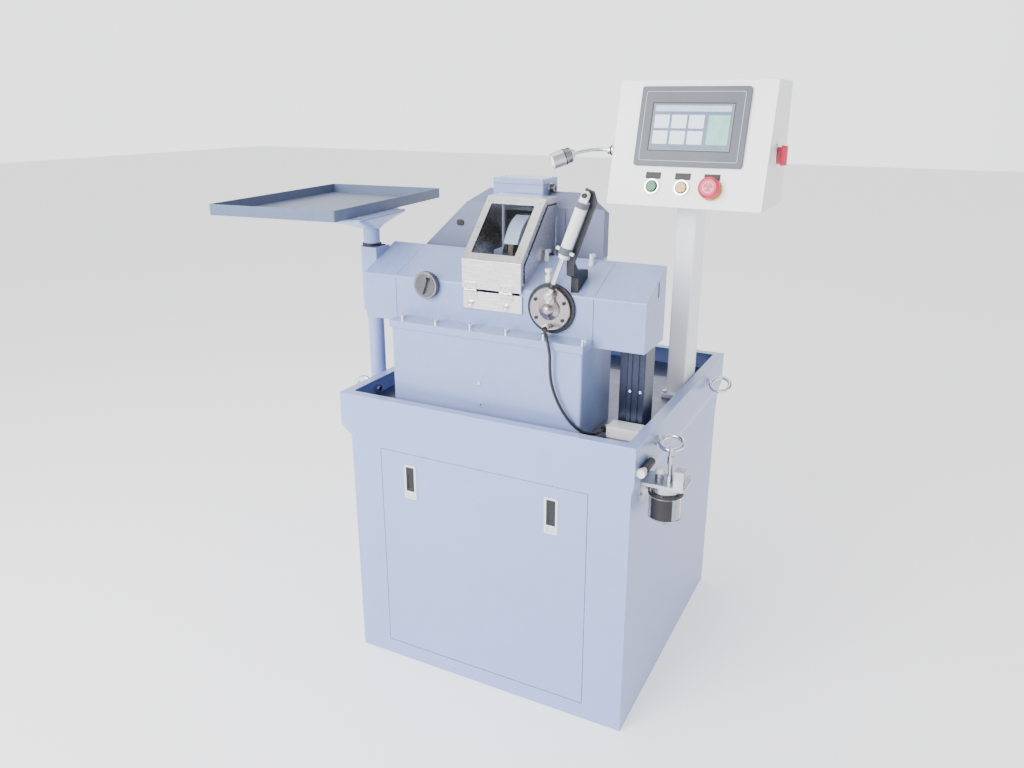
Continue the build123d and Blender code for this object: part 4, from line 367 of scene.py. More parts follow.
def lay_over(tree, mask, under, colour):
    """A colour laid over a finish where a mask says so, as its node and output."""
    mix = add_node(tree, "ShaderNodeMix", {"data_type": "RGBA"})
    mix.inputs["B"].default_value = (*colour, 1)
    wire(tree, (mask, "Mask", mix, "Factor"), (*under, mix, "A"))
    return mix, "Result"


def finish(name, colour, shade, roughness, metallic=0.0, coat=0.0, drift=0.5, drift_scale=8.0,
           grain_scale=400.0, stretch=(1, 1, 1), bump=0.05, rough_spread=0.08, edge=0.001,
           wear=0.0, wear_colour=(0.5, 0.5, 0.5), dust=0.0):
    """A finish built from the shared groups, with its constants on the shader's sockets."""
    material = bpy.data.materials.new(name)
    material.use_nodes = True
    tree = material.node_tree
    shader = tree.nodes["Principled BSDF"]
    shader.inputs["Metallic"].default_value = metallic
    shader.inputs["Coat Weight"].default_value = coat
    shader.inputs["Coat Roughness"].default_value = COAT_ROUGHNESS
    tone = place_group(tree, mottled_colour, Colour=(*colour, 1), Shade=(*shade, 1),
                       Scale=drift_scale, Amount=drift)
    top = (tone, "Colour")
    if wear:
        rubbed = place_group(tree, edge_wear, Radius=2 * edge, Amount=wear)
        top = lay_over(tree, rubbed, top, wear_colour)
    if dust:
        settled = place_group(tree, settled_dust, Amount=dust)
        top = lay_over(tree, settled, top, DUST_TONE)
    grain = place_group(tree, fine_grain, Stretch=stretch, Scale=grain_scale)
    rough = add_range(tree, 0.0, 1.0, roughness - rough_spread / 2, roughness + rough_spread / 2)
    soft_edge = place_group(tree, rounded_edge, Radius=edge)
    relief = add_node(tree, "ShaderNodeBump", None, Strength=bump, Distance=RELIEF)
    wire(
        tree,
        (*top, shader, "Base Color"), (grain, "Mask", rough, "Value"),
        (rough, "Result", shader, "Roughness"), (grain, "Height", relief, "Height"),
        (soft_edge, "Normal", relief, "Normal"), (relief, "Normal", shader, "Normal"),
    )
    return material


# %% [markdown]
# ### The paints
# The cabinet and the grinding head are sprayed in one cool blue-grey with a semi-gloss
# skin and a trace of orange peel. The post and the control box are white.
# %% Mix the paints
blue_paint = finish(
    "blue_grey_paint", (0.275, 0.355, 0.650), (0.252, 0.326, 0.606), 0.34, coat=0.25,
    drift=0.7, drift_scale=3.0, grain_scale=260.0, bump=0.10, edge=0.0016, wear=0.35,
    wear_colour=(0.70, 0.74, 0.80), dust=0.12,
)
head_paint = finish(
    "head_paint", (0.250, 0.325, 0.585), (0.224, 0.292, 0.536), 0.30, coat=0.3,
    drift=0.7, drift_scale=6.0, grain_scale=300.0, bump=0.10, edge=0.0014, wear=0.45,
    wear_colour=(0.68, 0.70, 0.74), dust=0.10,
)
guard_paint = finish(
    "guard_paint", (0.150, 0.175, 0.275), (0.130, 0.152, 0.240), 0.55, coat=0.0,
    drift=0.7, drift_scale=7.0, grain_scale=300.0, bump=0.12, edge=0.0012, wear=0.4,
    wear_colour=(0.55, 0.58, 0.64), dust=0.12,
)
# The tray has the cabinet's blue-grey paint; this much darker copy of it is painted shade.
tray_paint_painted_shade = finish(
    "tray_paint_painted_shade", (0.105, 0.140, 0.245), (0.088, 0.118, 0.210), 0.45, coat=0.0, drift=0.7, drift_scale=5.0,
    grain_scale=300.0, bump=0.10, edge=0.0012, wear=0.4, wear_colour=(0.60, 0.64, 0.72), dust=0.12,
)
white_paint = finish(
    "white_paint", (0.950, 0.950, 0.975), (0.920, 0.920, 0.950), 0.32, coat=0.2,
    drift=0.5, drift_scale=5.0, grain_scale=300.0, bump=0.07, edge=0.0012, wear=0.15,
    wear_colour=(0.60, 0.60, 0.62), dust=0.05,
)
pump_paint = finish(
    "hammered_grey_paint", (0.110, 0.125, 0.145), (0.075, 0.085, 0.100), 0.42, coat=0.1,
    drift=0.8, drift_scale=20.0, grain_scale=120.0, bump=0.35, edge=0.0012, wear=0.5,
    wear_colour=(0.35, 0.36, 0.38), dust=0.15,
)

# %% [markdown]
# ### The metals
# Stainless sheet is brushed one way, ground faces have finer lines, and the eye bolts and
# latches are plated bright. Stretching the grain along one axis draws the brush lines.
# %% Mix the metals
stainless = finish(
    "brushed_stainless", (0.82, 0.79, 0.80), (0.68, 0.65, 0.66), 0.30, metallic=1.0,
    drift=0.6, drift_scale=9.0, grain_scale=500.0, stretch=(0.06, 1, 1), bump=0.12,
    rough_spread=0.22, edge=0.0008, wear=0.2, wear_colour=(0.75, 0.74, 0.73), dust=0.05,
)
# Partly real satin steel and partly painted shade: the colour is darkened well below bare steel to stand in
# for the shade inside the trough.
trough_steel_painted_shade = finish(
    "satin_trough_steel_painted_shade", (0.15, 0.16, 0.24), (0.09, 0.10, 0.16), 0.38, metallic=1.0,
    drift=0.9, drift_scale=7.0, grain_scale=420.0, stretch=(0.08, 1, 1), bump=0.15,
    rough_spread=0.25, edge=0.001, dust=0.15,
)
ground_steel = finish(
    "ground_steel", (0.60, 0.61, 0.62), (0.47, 0.48, 0.50), 0.26, metallic=1.0,
    drift=0.7, drift_scale=16.0, grain_scale=700.0, stretch=(1, 0.06, 1), bump=0.10,
    rough_spread=0.18, edge=0.0006, wear=0.25, wear_colour=(0.8, 0.8, 0.8), dust=0.06,
)
chrome = finish(
    "bright_plating", (0.74, 0.74, 0.76), (0.62, 0.63, 0.66), 0.12, metallic=1.0,
    drift=0.5, drift_scale=30.0, grain_scale=500.0, bump=0.03, rough_spread=0.10, edge=0.0005,
)
dark_chrome = finish(
    "dark_plating", (0.200, 0.200, 0.215), (0.120, 0.120, 0.130), 0.20, metallic=1.0,
    drift=0.6, drift_scale=40.0, grain_scale=600.0, bump=0.05, rough_spread=0.15, edge=0.0005,
)
turned_steel = finish(
    "turned_steel", (0.43, 0.385, 0.390), (0.29, 0.255, 0.260), 0.24, metallic=1.0,
    drift=0.7, drift_scale=40.0, grain_scale=900.0, bump=0.06, rough_spread=0.2, edge=0.0005,
)
black_steel = finish(
    "blackened_steel", (0.040, 0.042, 0.048), (0.022, 0.023, 0.027), 0.38, metallic=0.7,
    drift=0.7, drift_scale=25.0, grain_scale=500.0, bump=0.10, rough_spread=0.15, edge=0.0007,
    wear=0.5, wear_colour=(0.22, 0.22, 0.23),
)
column_coat = finish(
    "blue_black_anodising", (0.038, 0.046, 0.085), (0.024, 0.030, 0.060), 0.34, metallic=0.6,
    drift=0.7, drift_scale=15.0, grain_scale=500.0, stretch=(1, 1, 0.08), bump=0.10, rough_spread=0.15,
    edge=0.0007, wear=0.3, wear_colour=(0.20, 0.21, 0.25),
)
zinc = finish(
    "bright_zinc", (0.52, 0.54, 0.57), (0.40, 0.42, 0.46), 0.33, metallic=1.0,
    drift=0.9, drift_scale=35.0, grain_scale=300.0, bump=0.10, rough_spread=0.2, edge=0.0007,
)
aluminium = finish(
    "satin_aluminium", (0.70, 0.71, 0.73), (0.58, 0.59, 0.61), 0.30, metallic=1.0,
    drift=0.5, drift_scale=20.0, grain_scale=700.0, bump=0.05, rough_spread=0.15, edge=0.0006,
)

# %% [markdown]
# ### The plastics
# Mouldings have an even, fine texture and no metal under their wear, so their edges only
# turn a little paler. Smooth parts such as push buttons keep a higher gloss.
# %% Mix the plastics
black_plastic = finish(
    "black_moulding", (0.010, 0.010, 0.012), (0.006, 0.006, 0.008), 0.50, drift=0.5,
    drift_scale=30.0, grain_scale=900.0, bump=0.10, edge=0.0006, wear=0.25, wear_colour=(0.10, 0.10, 0.10),
)
grey_plastic = finish(
    "grey_moulding", (0.085, 0.098, 0.125), (0.066, 0.077, 0.100), 0.42, drift=0.5,
    drift_scale=20.0, grain_scale=1100.0, bump=0.16, edge=0.0008, wear=0.2, wear_colour=(0.25, 0.27, 0.30),
)
white_plastic = finish(
    "white_moulding", (0.78, 0.78, 0.77), (0.70, 0.70, 0.70), 0.28, coat=0.1, drift=0.5,
    drift_scale=25.0, grain_scale=600.0, bump=0.04, edge=0.0007,
)
tank_plastic = finish(
    "tank_moulding", (0.62, 0.65, 0.64), (0.54, 0.57, 0.56), 0.45, drift=0.6, drift_scale=9.0,
    grain_scale=500.0, bump=0.12, edge=0.002, dust=0.2,
)
green_plastic = finish(
    "green_moulding", (0.001, 0.160, 0.060), (0.001, 0.110, 0.042), 0.30, drift=0.4,
    drift_scale=40.0, grain_scale=500.0, bump=0.02, edge=0.0008,
)
yellow_plastic = finish(
    "yellow_moulding", (0.720, 0.420, 0.110), (0.620, 0.350, 0.085), 0.30, drift=0.4,
    drift_scale=40.0, grain_scale=500.0, bump=0.02, edge=0.0008,
)
red_plastic = finish(
    "red_moulding", (0.640, 0.018, 0.080), (0.520, 0.012, 0.055), 0.32, drift=0.4,
    drift_scale=40.0, grain_scale=500.0, bump=0.02, edge=0.0010,
)
tube_rubber = finish(
    "black_tube", (0.014, 0.014, 0.016), (0.008, 0.008, 0.010), 0.33, drift=0.5, drift_scale=40.0,
    grain_scale=700.0, bump=0.04, edge=0.0004,
)
abrasive = finish(
    "bonded_abrasive", (0.150, 0.120, 0.100), (0.060, 0.050, 0.045), 0.85, drift=1.0,
    drift_scale=120.0, grain_scale=900.0, bump=0.8, edge=0.0006,
)


# %% [markdown]
# ### The clear parts
# The hood's window, the filter's bowl and the lens let light through. A transmission
# shader with a plain value keeps them clear, and a little grime in the roughness keeps
# them from vanishing.
# %% Mix the clear parts
def clear(name, colour, roughness, ior, grime):
    """A see-through finish whose roughness drifts with a faint grime."""
    material = bpy.data.materials.new(name)
    material.use_nodes = True
    tree = material.node_tree
    shader = tree.nodes["Principled BSDF"]
    shader.inputs["Transmission Weight"].default_value = 1.0
    shader.inputs["IOR"].default_value = ior
    grimy = (*[0.93 * channel for channel in colour], 1)
    tone = place_group(tree, mottled_colour, Colour=(*colour, 1), Shade=grimy, Scale=14.0, Amount=0.6)
    rough = add_range(tree, 0.0, 1.0, roughness, roughness + grime)
    wire(
        tree,
        (tone, "Colour", shader, "Base Color"), (tone, "Mask", rough, "Value"),
        (rough, "Result", shader, "Roughness"),
    )
    return material


clear_sheet = clear("clear_sheet", (0.93, 0.95, 0.96), 0.02, 1.15, 0.05)
lens_glass = clear("polished_lens_glass", (0.90, 0.96, 0.95), 0.0, 1.5, 0.02)
bowl_plastic = clear("clear_bowl_moulding", (0.88, 0.90, 0.88), 0.10, 1.25, 0.10)

screen_glass = finish(
    "dark_screen_glass", (0.012, 0.016, 0.022), (0.008, 0.010, 0.014), 0.09, coat=0.6, drift=0.4,
    drift_scale=10.0, grain_scale=300.0, bump=0.0, rough_spread=0.03, edge=0.0003,
)
print("materials:", len(bpy.data.materials))

# %% [markdown]
# ## Dress the solids
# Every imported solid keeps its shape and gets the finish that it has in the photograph.
# %% Give each solid its finish
node_finish = {
    "cabinet_shell": blue_paint, "door_panel": blue_paint, "trough_frame": trough_steel_painted_shade,
    "bed_plate": trough_steel_painted_shade, "coolant_unit": tank_plastic, "electrics_plate": zinc,
    "eye_bolts": chrome, "latch_frames": chrome, "latch_lever_left": black_steel,
    "latch_lever_right": black_steel, "latch_button_left": chrome, "latch_button_right": chrome,
    "pedestal_box": head_paint, "pedestal_cap": head_paint, "cap_screws": chrome, "beam": head_paint,
    "beam_left_end": head_paint, "beam_right_end": head_paint, "column": column_coat,
    "tray_post": blue_paint, "tray_bracket": blue_paint, "tray": tray_paint_painted_shade, "hood_plate": stainless,
    "guard_cheeks": stainless, "hood_frame": stainless, "hood_window": clear_sheet,
    "clamp_flange": turned_steel, "crank_hub": turned_steel, "cylinder_strut": black_steel,
    "cylinder_barrel": white_plastic, "piston_rod": chrome, "air_fittings": white_plastic,
    "adjuster_knob": dark_chrome, "left_spindle": ground_steel, "right_spindle": ground_steel,
    "quill": ground_steel, "lens_blank": lens_glass, "lens_gearmotor": pump_paint,
    "wheel_column": head_paint, "wheel_carriage": head_paint, "wheel_guard": guard_paint,
    "terminal_box": head_paint, "wheel_motor": pump_paint, "wheel_spindle": ground_steel,
    "grinding_wheel": abrasive, "control_post": white_paint, "control_box": white_paint,
    "control_box_back": white_paint, "screen_bezel": grey_plastic, "screen": screen_glass,
    "button_bezels": chrome, "green_button": green_plastic, "yellow_button": yellow_plastic,
    "emergency_stop": red_plastic, "main_switch": red_plastic, "lamp": aluminium,
    "filter_head": zinc, "filter_bowl": bowl_plastic, "valve_sleeve": black_steel,
}


def assign(piece, material):
    """Put one material in every slot of a piece."""
    slots = piece.data.materials
    if not slots:
        slots.append(material)
    for index in range(len(slots)):
        slots[index] = material


for node_name, material in node_finish.items():
    assign(bpy.data.objects[node_name], material)
assign(hose, tube_rubber)
print("dressed:", len(node_finish), "of", len(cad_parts))


# %% [markdown]
# ### Finishes of the small pieces
# The seam filler, the dial, the trims and the screen's page are seen at a few pixels each,
# but up close they still have grain and drift like everything else.
# %% Mix the small finishes
seam_filler = finish(
    "seam_filler", (0.150, 0.185, 0.255), (0.110, 0.140, 0.200), 0.55, drift=0.8, drift_scale=40.0,
    grain_scale=600.0, bump=0.15, edge=0.0002,
)
cover_paint = finish(
    "splash_cover_paint", (0.470, 0.540, 0.690), (0.400, 0.470, 0.620), 0.30, coat=0.2, drift=0.8,
    drift_scale=18.0, grain_scale=400.0, bump=0.08, edge=0.0006, wear=0.3, wear_colour=(0.75, 0.77, 0.80),
)
satin_dial = finish(
    "satin_dial", (0.30, 0.28, 0.30), (0.20, 0.19, 0.20), 0.30, metallic=1.0, drift=0.7, drift_scale=60.0,
    grain_scale=900.0, bump=0.06, rough_spread=0.2, edge=0.0004,
)
light_trim = finish(
    "light_trim", (0.52, 0.56, 0.62), (0.44, 0.48, 0.54), 0.38, drift=0.5, drift_scale=40.0,
    grain_scale=900.0, bump=0.05, edge=0.0002,
)
label_black = finish(
    "blank_black_label", (0.012, 0.011, 0.013), (0.008, 0.007, 0.009), 0.55, drift=0.6,
    drift_scale=50.0, grain_scale=700.0, bump=0.04, edge=0.0003, wear=0.3, wear_colour=(0.12, 0.12, 0.12),
)


def lit(name, colour, shade, strength, drift_scale=12.0):
    """A finish that also glows a little with its own drifting colour."""
    material = finish(name, colour, shade, 0.25, drift=1.0, drift_scale=drift_scale, grain_scale=900.0,
                      bump=0.0, edge=0.0002)
    tree = material.node_tree
    shader = tree.nodes["Principled BSDF"]
    source = shader.inputs["Base Color"].links[0].from_socket
    tree.links.new(source, shader.inputs["Emission Color"])
    shader.inputs["Emission Strength"].default_value = strength
    return material


lamp_white = lit("frosted_lamp_glass", (0.90, 0.90, 0.88), (0.84, 0.84, 0.83), 0.9)
page_ground = lit("screen_page_ground", (0.060, 0.110, 0.200), (0.030, 0.065, 0.130), 0.7)
page_header = lit("screen_page_header", (0.300, 0.420, 0.600), (0.240, 0.350, 0.520), 0.8)
page_tile = lit("screen_page_tiles", (0.560, 0.640, 0.720), (0.460, 0.560, 0.660), 0.8)
page_accent = lit("screen_page_accent", (0.180, 0.420, 0.360), (0.120, 0.320, 0.280), 0.8)
print("small finishes mixed")

# %% [markdown]
# ## Tools for small pieces
# Screws, trims and labels are all turned, flat or swept, so a few short builders cover
# them. Each one adds faces to a mesh that is being worked on, in a local frame whose Z
# points out of the surface that the piece sits on.
# %% Helpers: frames and finished pieces
def facing(place, axis, upright=(0, 0, 1)):
    """A local frame at a place, with Z along an axis and Y as upright as it can be."""
    z = Vector(axis).normalized()
    x = Vector(upright).cross(z)
    if x.length < 1e-6:
        x = Vector((1, 0, 0))
    x.normalize()
    return Matrix.Translation(place) @ Matrix((x, z.cross(x), z)).transposed().to_4x4()


def add_piece(name, work, material, body="machine"):
    """Turn worked faces into an object that is dressed and rides on a body."""
    bmesh.ops.remove_doubles(work, verts=work.verts, dist=1e-6)
    bmesh.ops.recalc_face_normals(work, faces=work.faces)
    mesh = bpy.data.meshes.new(name)
    work.to_mesh(mesh)
    work.free()
    mesh.shade_smooth()
    mesh.set_sharp_from_angle(angle=radians(32))
    piece = bpy.data.objects.new(name, mesh)
    bpy.context.scene.collection.objects.link(piece)
    mesh.materials.append(material)
    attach(piece, body)


# %% Helpers: rings, turned and flat shapes
def skin(work, rings):
    """Close the wall between each ring of vertices and the next."""
    for lower, upper in zip(rings, rings[1:]):
        count = max(len(lower), len(upper))
        for k in range(count):
            corners = [lower[k % len(lower)], lower[(k + 1) % len(lower)],
                       upper[(k + 1) % len(upper)], upper[k % len(upper)]]
            corners = list(dict.fromkeys(corners))
            if len(corners) > 2:
                work.faces.new(corners)


def hexagon(radius, steps=24):
    """Radii that make a ring of vertices six-sided."""
    return [radius * cos(pi / 6) / cos((2 * pi * k / steps) % (pi / 3) - pi / 6) for k in range(steps)]


def cross(radius, steps=24):
    """Radii that make a ring of vertices a cross."""
    return [radius if k % (steps // 4) == 0 else 0.32 * radius for k in range(steps)]


def turned(work, profile, at, steps=24):
    """A turned shape from (radius, height) points. A radius may be a list for a ring that isn't round."""
    rings = []
    for radius, height in profile:
        if radius == 0:
            rings.append([work.verts.new(at @ Vector((0, 0, height)))])
            continue
        radii = radius if isinstance(radius, list) else [radius] * steps
        rings.append([
            work.verts.new(at @ Vector((r * cos(2 * pi * k / steps), r * sin(2 * pi * k / steps), height)))
            for k, r in enumerate(radii)
        ])
    skin(work, rings)


def rounded_outline(width, height, corner, steps=5):
    """Points of a rounded rectangle about its middle."""
    points = []
    for turn, (side, rise) in enumerate(((1, 1), (-1, 1), (-1, -1), (1, -1))):
        for step in range(steps + 1):
            angle = pi / 2 * (turn + step / steps)
            points.append((side * (width / 2 - corner) + corner * cos(angle),
                           rise * (height / 2 - corner) + corner * sin(angle)))
    return points


def flat_ring(work, outline, level, at, middle):
    """A ring of vertices on an outline, at one level."""
    return [work.verts.new(at @ Vector((x + middle[0], y + middle[1], level))) for x, y in outline]


def plate(work, size, corner, thick, at, bevel=0.0003, middle=(0, 0)):
    """A flat plate with rounded corners and a chamfered face."""
    rings = []
    for level, inset in ((0.0, 0.0), (thick - bevel, 0.0), (thick, bevel)):
        outline = rounded_outline(size[0] - 2 * inset, size[1] - 2 * inset, max(corner - inset, 1e-4))
        rings.append(flat_ring(work, outline, level, at, middle))
    skin(work, rings)
    work.faces.new(rings[0])
    work.faces.new(rings[-1])


def open_frame(work, outer, inner, corner, thick, at, middle=(0, 0)):
    """A flat frame between two rounded rectangles."""
    rings = []
    rim = 0.25 * thick
    for size, level, inset in (
        (outer, 0.0, 0.0), (outer, thick - rim, 0.0), (outer, thick, rim), (inner, thick, -rim),
        (inner, thick - rim, 0.0), (inner, 0.0, 0.0), (outer, 0.0, 0.0),
    ):
        radius = corner if size is outer else max(corner - (outer[0] - inner[0]) / 2, 2e-4)
        outline = rounded_outline(size[0] - 2 * inset, size[1] - 2 * inset, radius)
        rings.append(flat_ring(work, outline, level, at, middle))
    skin(work, rings)


# %% Helpers: screws, bolts and bent strips
def socket_screw(work, at, radius, height):
    """A round head with a hexagonal recess."""
    turned(work, [
        (radius, 0), (radius, 0.82 * height), (0.88 * radius, height), (hexagon(0.56 * radius), height),
        (hexagon(0.52 * radius), 0.4 * height), (0, 0.3 * height),
    ], at)


def cross_screw(work, at, radius, height):
    """A domed head with a cross recess."""
    turned(work, [
        (radius, 0), (0.97 * radius, 0.45 * height), (0.75 * radius, 0.85 * height),
        (cross(0.60 * radius), 0.95 * height), (cross(0.45 * radius), 0.4 * height), (0, 0.35 * height),
    ], at)


def hex_bolt(work, at, radius, height):
    """A six-sided head with a chamfered top, on a washer."""
    turned(work, [
        (1.25 * radius, 0), (1.25 * radius, 0.2 * height), (hexagon(radius), 0.2 * height),
        (hexagon(radius), 0.85 * height), (0.82 * radius, height), (0, height),
    ], at)


def add_heads(name, head, places, radius, height, material, body="machine"):
    """Screw or bolt heads of one kind as one piece, each in its own local frame."""
    work = bmesh.new()
    for at in places:
        head(work, at, radius, height)
    add_piece(name, work, material, body)


def ring_band(work, inner, outer, low, high, at, steps=48):
    """A turned ring with a softened outer edge."""
    soft = 0.2 * min(high - low, outer - inner)
    turned(work, [
        (inner, low), (outer - soft, low), (outer, low + soft), (outer, high - soft), (outer - soft, high),
        (inner, high), (inner, low),
    ], at, steps)


def bent_strip(work, path, width, thick, side):
    """A strip laid along a path of points, as wide as given towards a side, rising off its surface."""
    side = Vector(side).normalized() * width / 2
    rings = []
    for index, point in enumerate(path):
        before = Vector(path[max(index - 1, 0)])
        after = Vector(path[min(index + 1, len(path) - 1)])
        lift = side.cross(after - before).normalized() * thick
        centre = Vector(point)
        rings.append([work.verts.new(corner) for corner in (
            centre - side, centre + side, centre + side * 0.8 + lift, centre - side * 0.8 + lift)])
    skin(work, rings)
    work.faces.new(rings[0])
    work.faces.new(rings[-1])


def round_rod(name, points, radius, material, body="machine"):
    """A smooth rod or wire through a few points."""
    rod = tube_line(name, points, radius, 4)
    rod.data.materials.append(material)
    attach(rod, body)


print("builders ready")

# %% [markdown]
# ## The cabinet
# A thin black strip set just inside the door gap paints the gap's shade as a dark line round
# the door. The back of the cabinet has a screwed service cover with pressed louvres, and
# the drain in the trough has a strainer.
# %% Door gap painted shade
TOP, FRONT_WAY, BACK_WAY = (0, 0, 1), (0, -1, 0), (0, 1, 0)
RIGHT_WAY, LEFT_WAY = (1, 0, 0), (-1, 0, 0)
# A black strip inside the door gap, as painted shade: it draws the dark line that the gap's shade makes.
GAP_SHADE, GAP_SHADE_DEPTH = 0.00045, 0.012
GAP_SHADE_INSET, GAP_SHADE_SHORT = 0.0006, 0.004
DOOR_GAP = 0.001
door_low, door_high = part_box("door_panel")
wall_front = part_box("cabinet_shell")[0][1]
door_middle = [(low + high) / 2 for low, high in zip(door_low, door_high)]
gap_shade_at = facing((door_middle[0], wall_front + GAP_SHADE_INSET + GAP_SHADE_DEPTH, door_middle[2]), FRONT_WAY)
gap_shade_outer = (door_high[0] - door_low[0] + 2 * DOOR_GAP, door_high[2] - door_low[2] + 2 * DOOR_GAP)
work = bmesh.new()
for side in (-1, 1):
    strip_middle = (side * (gap_shade_outer[0] - GAP_SHADE) / 2, 0)
    plate(work, (GAP_SHADE, gap_shade_outer[1] - GAP_SHADE_SHORT), 2e-4, GAP_SHADE_DEPTH, gap_shade_at, 1e-4, strip_middle)
strip_middle = (0, (gap_shade_outer[1] - GAP_SHADE) / 2)
plate(work, (gap_shade_outer[0] - 2 * GAP_SHADE, GAP_SHADE), 2e-4, GAP_SHADE_DEPTH, gap_shade_at, 1e-4, strip_middle)
add_piece("door_gap_shade_strip", work, tube_rubber)

# %% Service cover on the back
COVER = (0.44, 0.36)
COVER_Z = 0.25
COVER_THICK = 0.0015
BACK_WALL = 0.300
cover_at = facing((0, BACK_WALL, COVER_Z), BACK_WAY)
work = bmesh.new()
plate(work, COVER, 0.006, COVER_THICK, cover_at, 0.0005)
add_piece("rear_service_cover", work, blue_paint)
LOUVRE_ENDS = (-0.075, -0.068, 0.068, 0.075)
LOUVRE_LIPS = ((-0.004, 0.0004), (-0.002, 0.007), (-0.002, 0.007), (-0.004, 0.0004))
LOUVRE_ROOT = (0.010, 0.0002)
LOUVRE_X, LOUVRE_LOW, LOUVRE_PITCH = 0.105, -0.09, 0.03
work = bmesh.new()
for side in (-1, 1):
    for row in range(7):
        spot = (side * LOUVRE_X, LOUVRE_LOW + LOUVRE_PITCH * row, COVER_THICK)
        slot_at = cover_at @ Matrix.Translation(spot)
        crest = [work.verts.new(slot_at @ Vector((x, *lip))) for x, lip in zip(LOUVRE_ENDS, LOUVRE_LIPS)]
        root = [work.verts.new(slot_at @ Vector((x, *LOUVRE_ROOT))) for x in LOUVRE_ENDS]
        for k in range(3):
            work.faces.new((crest[k], crest[k + 1], root[k + 1], root[k]))
add_piece("rear_cover_louvres", work, blue_paint)
screw_spots = [(x, y, COVER_THICK) for x in (-0.205, 0.0, 0.205) for y in (-0.165, 0.165)]
screw_spots += [(x, y, COVER_THICK) for y in (-0.055, 0.055) for x in (-0.205, 0.205)]
screw_places = [cover_at @ Matrix.Translation(spot) for spot in screw_spots]
add_heads("rear_cover_screws", cross_screw, screw_places, 0.004, 0.0022, zinc)

# %% Drain strainer
DRAIN = (-0.180, 0.140)
DRAIN_R, BAR_PITCH, BAR_WIDTH = 0.0195, 0.005, 0.0022
bed_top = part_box("bed_plate")[1][2]
strainer_at = facing((*DRAIN, bed_top), TOP, BACK_WAY)
work = bmesh.new()
ring_band(work, 0.019, 0.023, 0.0, 0.0015, strainer_at)
for step in range(-3, 4):
    half = (DRAIN_R ** 2 - (BAR_PITCH * step) ** 2) ** 0.5
    plate(work, (BAR_WIDTH, 2 * half), 5e-4, 0.0012, strainer_at, 2e-4, (BAR_PITCH * step, 0))
plate(work, (0.038, BAR_WIDTH), 5e-4, 0.0013, strainer_at, 2e-4)
add_piece("drain_strainer", work, stainless)
print("cabinet pieces done")

# %% [markdown]
# ## The pedestal, beam and column
# The beam was cast in three lengths, so a filled seam runs over it at each joint. The
# pedestal and the column's cover show the heads of a few small screws, and a black plug
# sits on top of the beam's left end.
# %% Beam seams
beam_low, beam_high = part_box("beam")
beam_front, beam_back = beam_low[1], beam_high[1]
BEAM_FOOT, BEAM_RIDGE = 0.7275, 0.819
FILLET = 0.004
SEAM_WIDTH, SEAM_RISE = 0.0009, 0.00012
slope = (beam_high[2] - BEAM_RIDGE) / (beam_back - beam_front)
seam_path = [
    (beam_front, BEAM_FOOT), (beam_front, BEAM_RIDGE - FILLET),
    (beam_front + 0.3 * FILLET, BEAM_RIDGE - 0.2 * FILLET),
    (beam_front + FILLET, BEAM_RIDGE + slope * FILLET), (beam_back, beam_high[2]),
]
work = bmesh.new()
for x in (beam_low[0], beam_high[0]):
    bent_strip(work, [(x, y, z) for y, z in seam_path], SEAM_WIDTH, SEAM_RISE, LEFT_WAY)
add_piece("beam_seams", work, seam_filler)

# %% Screws and plugs
pedestal_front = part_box("pedestal_box")[0][1]
column_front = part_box("column")[0][1]
work = bmesh.new()
for z in (0.640, 0.597):
    socket_screw(work, facing((-0.029, pedestal_front, z), FRONT_WAY), 0.0034, 0.0022)
for x in (0.2405, 0.2605):
    socket_screw(work, facing((x, column_front, 0.638), FRONT_WAY), 0.0030, 0.0018)
add_piece("front_screws", work, chrome)
work = bmesh.new()
plug_at = facing((-0.327, -0.123, 0.862), TOP, BACK_WAY)
turned(work, [(0.0042, 0), (0.0042, 0.0008), (0.0034, 0.0016), (0, 0.0019)], plug_at)
add_piece("oil_plug", work, black_plastic)

# %% [markdown]
# ## The hood
# Each hinge leaf has three small screws. A dark strip along each of the hood's two side
# flanges paints the shade that lies on them, and six screws hold the window from outside.
# %% Hinge screws
HINGE_XS = (-0.066, 0.010)
LEAF_SPREAD = 0.0085
hood_low, hood_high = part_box("hood_frame")
for name, y, z, body in (
    ("hinge_screws_fixed", -0.2095, 0.7995, "machine"), ("hinge_screws_hood", -0.2135, 0.8205, "hood"),
):
    spots = [(x + shift, y, z) for x in HINGE_XS for shift in (-LEAF_SPREAD, 0.0, LEAF_SPREAD)]
    screw_places = [facing(spot, FRONT_WAY) for spot in spots]
    add_heads(name, cross_screw, screw_places, 0.0016, 0.0007, zinc, body)

# %% Painted flange shade and window screws
HOOD_SIDE = 0.012
HOOD_FOOT_Z, HOOD_BEND_Z = 0.829, 0.868
HOOD_FRONT, HOOD_REAR = -0.212, -0.0585
# Dark strips along the hood's side flanges, as painted shade of the flanges.
FLANGE_SHADE, FLANGE_SHADE_THICK = 0.0044, 0.0040
bend = HOOD_SIDE * tan(radians(22.5))
hood_top = hood_high[2]
run = hood_top - HOOD_BEND_Z
edge_line = [
    (HOOD_FRONT + HOOD_SIDE, HOOD_FOOT_Z), (HOOD_FRONT + HOOD_SIDE, HOOD_BEND_Z - bend),
    (HOOD_FRONT + run + bend, hood_top - HOOD_SIDE), (HOOD_REAR, hood_top - HOOD_SIDE),
]
work = bmesh.new()
for x in (hood_low[0] + 0.001, hood_high[0] - 0.001):
    bent_strip(work, [(x, y, z) for y, z in edge_line], FLANGE_SHADE, -FLANGE_SHADE_THICK, RIGHT_WAY)
add_piece("hood_flange_shade", work, tube_rubber, "hood")
window_normal = (0, -1, 1)
screw_places = []
for x in (-0.0775, 0.0325):
    for along in (0.012, 0.075, 0.138):
        place = (x, HOOD_FRONT + along * sin(pi / 4), HOOD_BEND_Z + along * sin(pi / 4))
        screw_places.append(facing(place, window_normal))
add_heads("window_screws", cross_screw, screw_places, 0.0022, 0.0010, zinc, "hood")

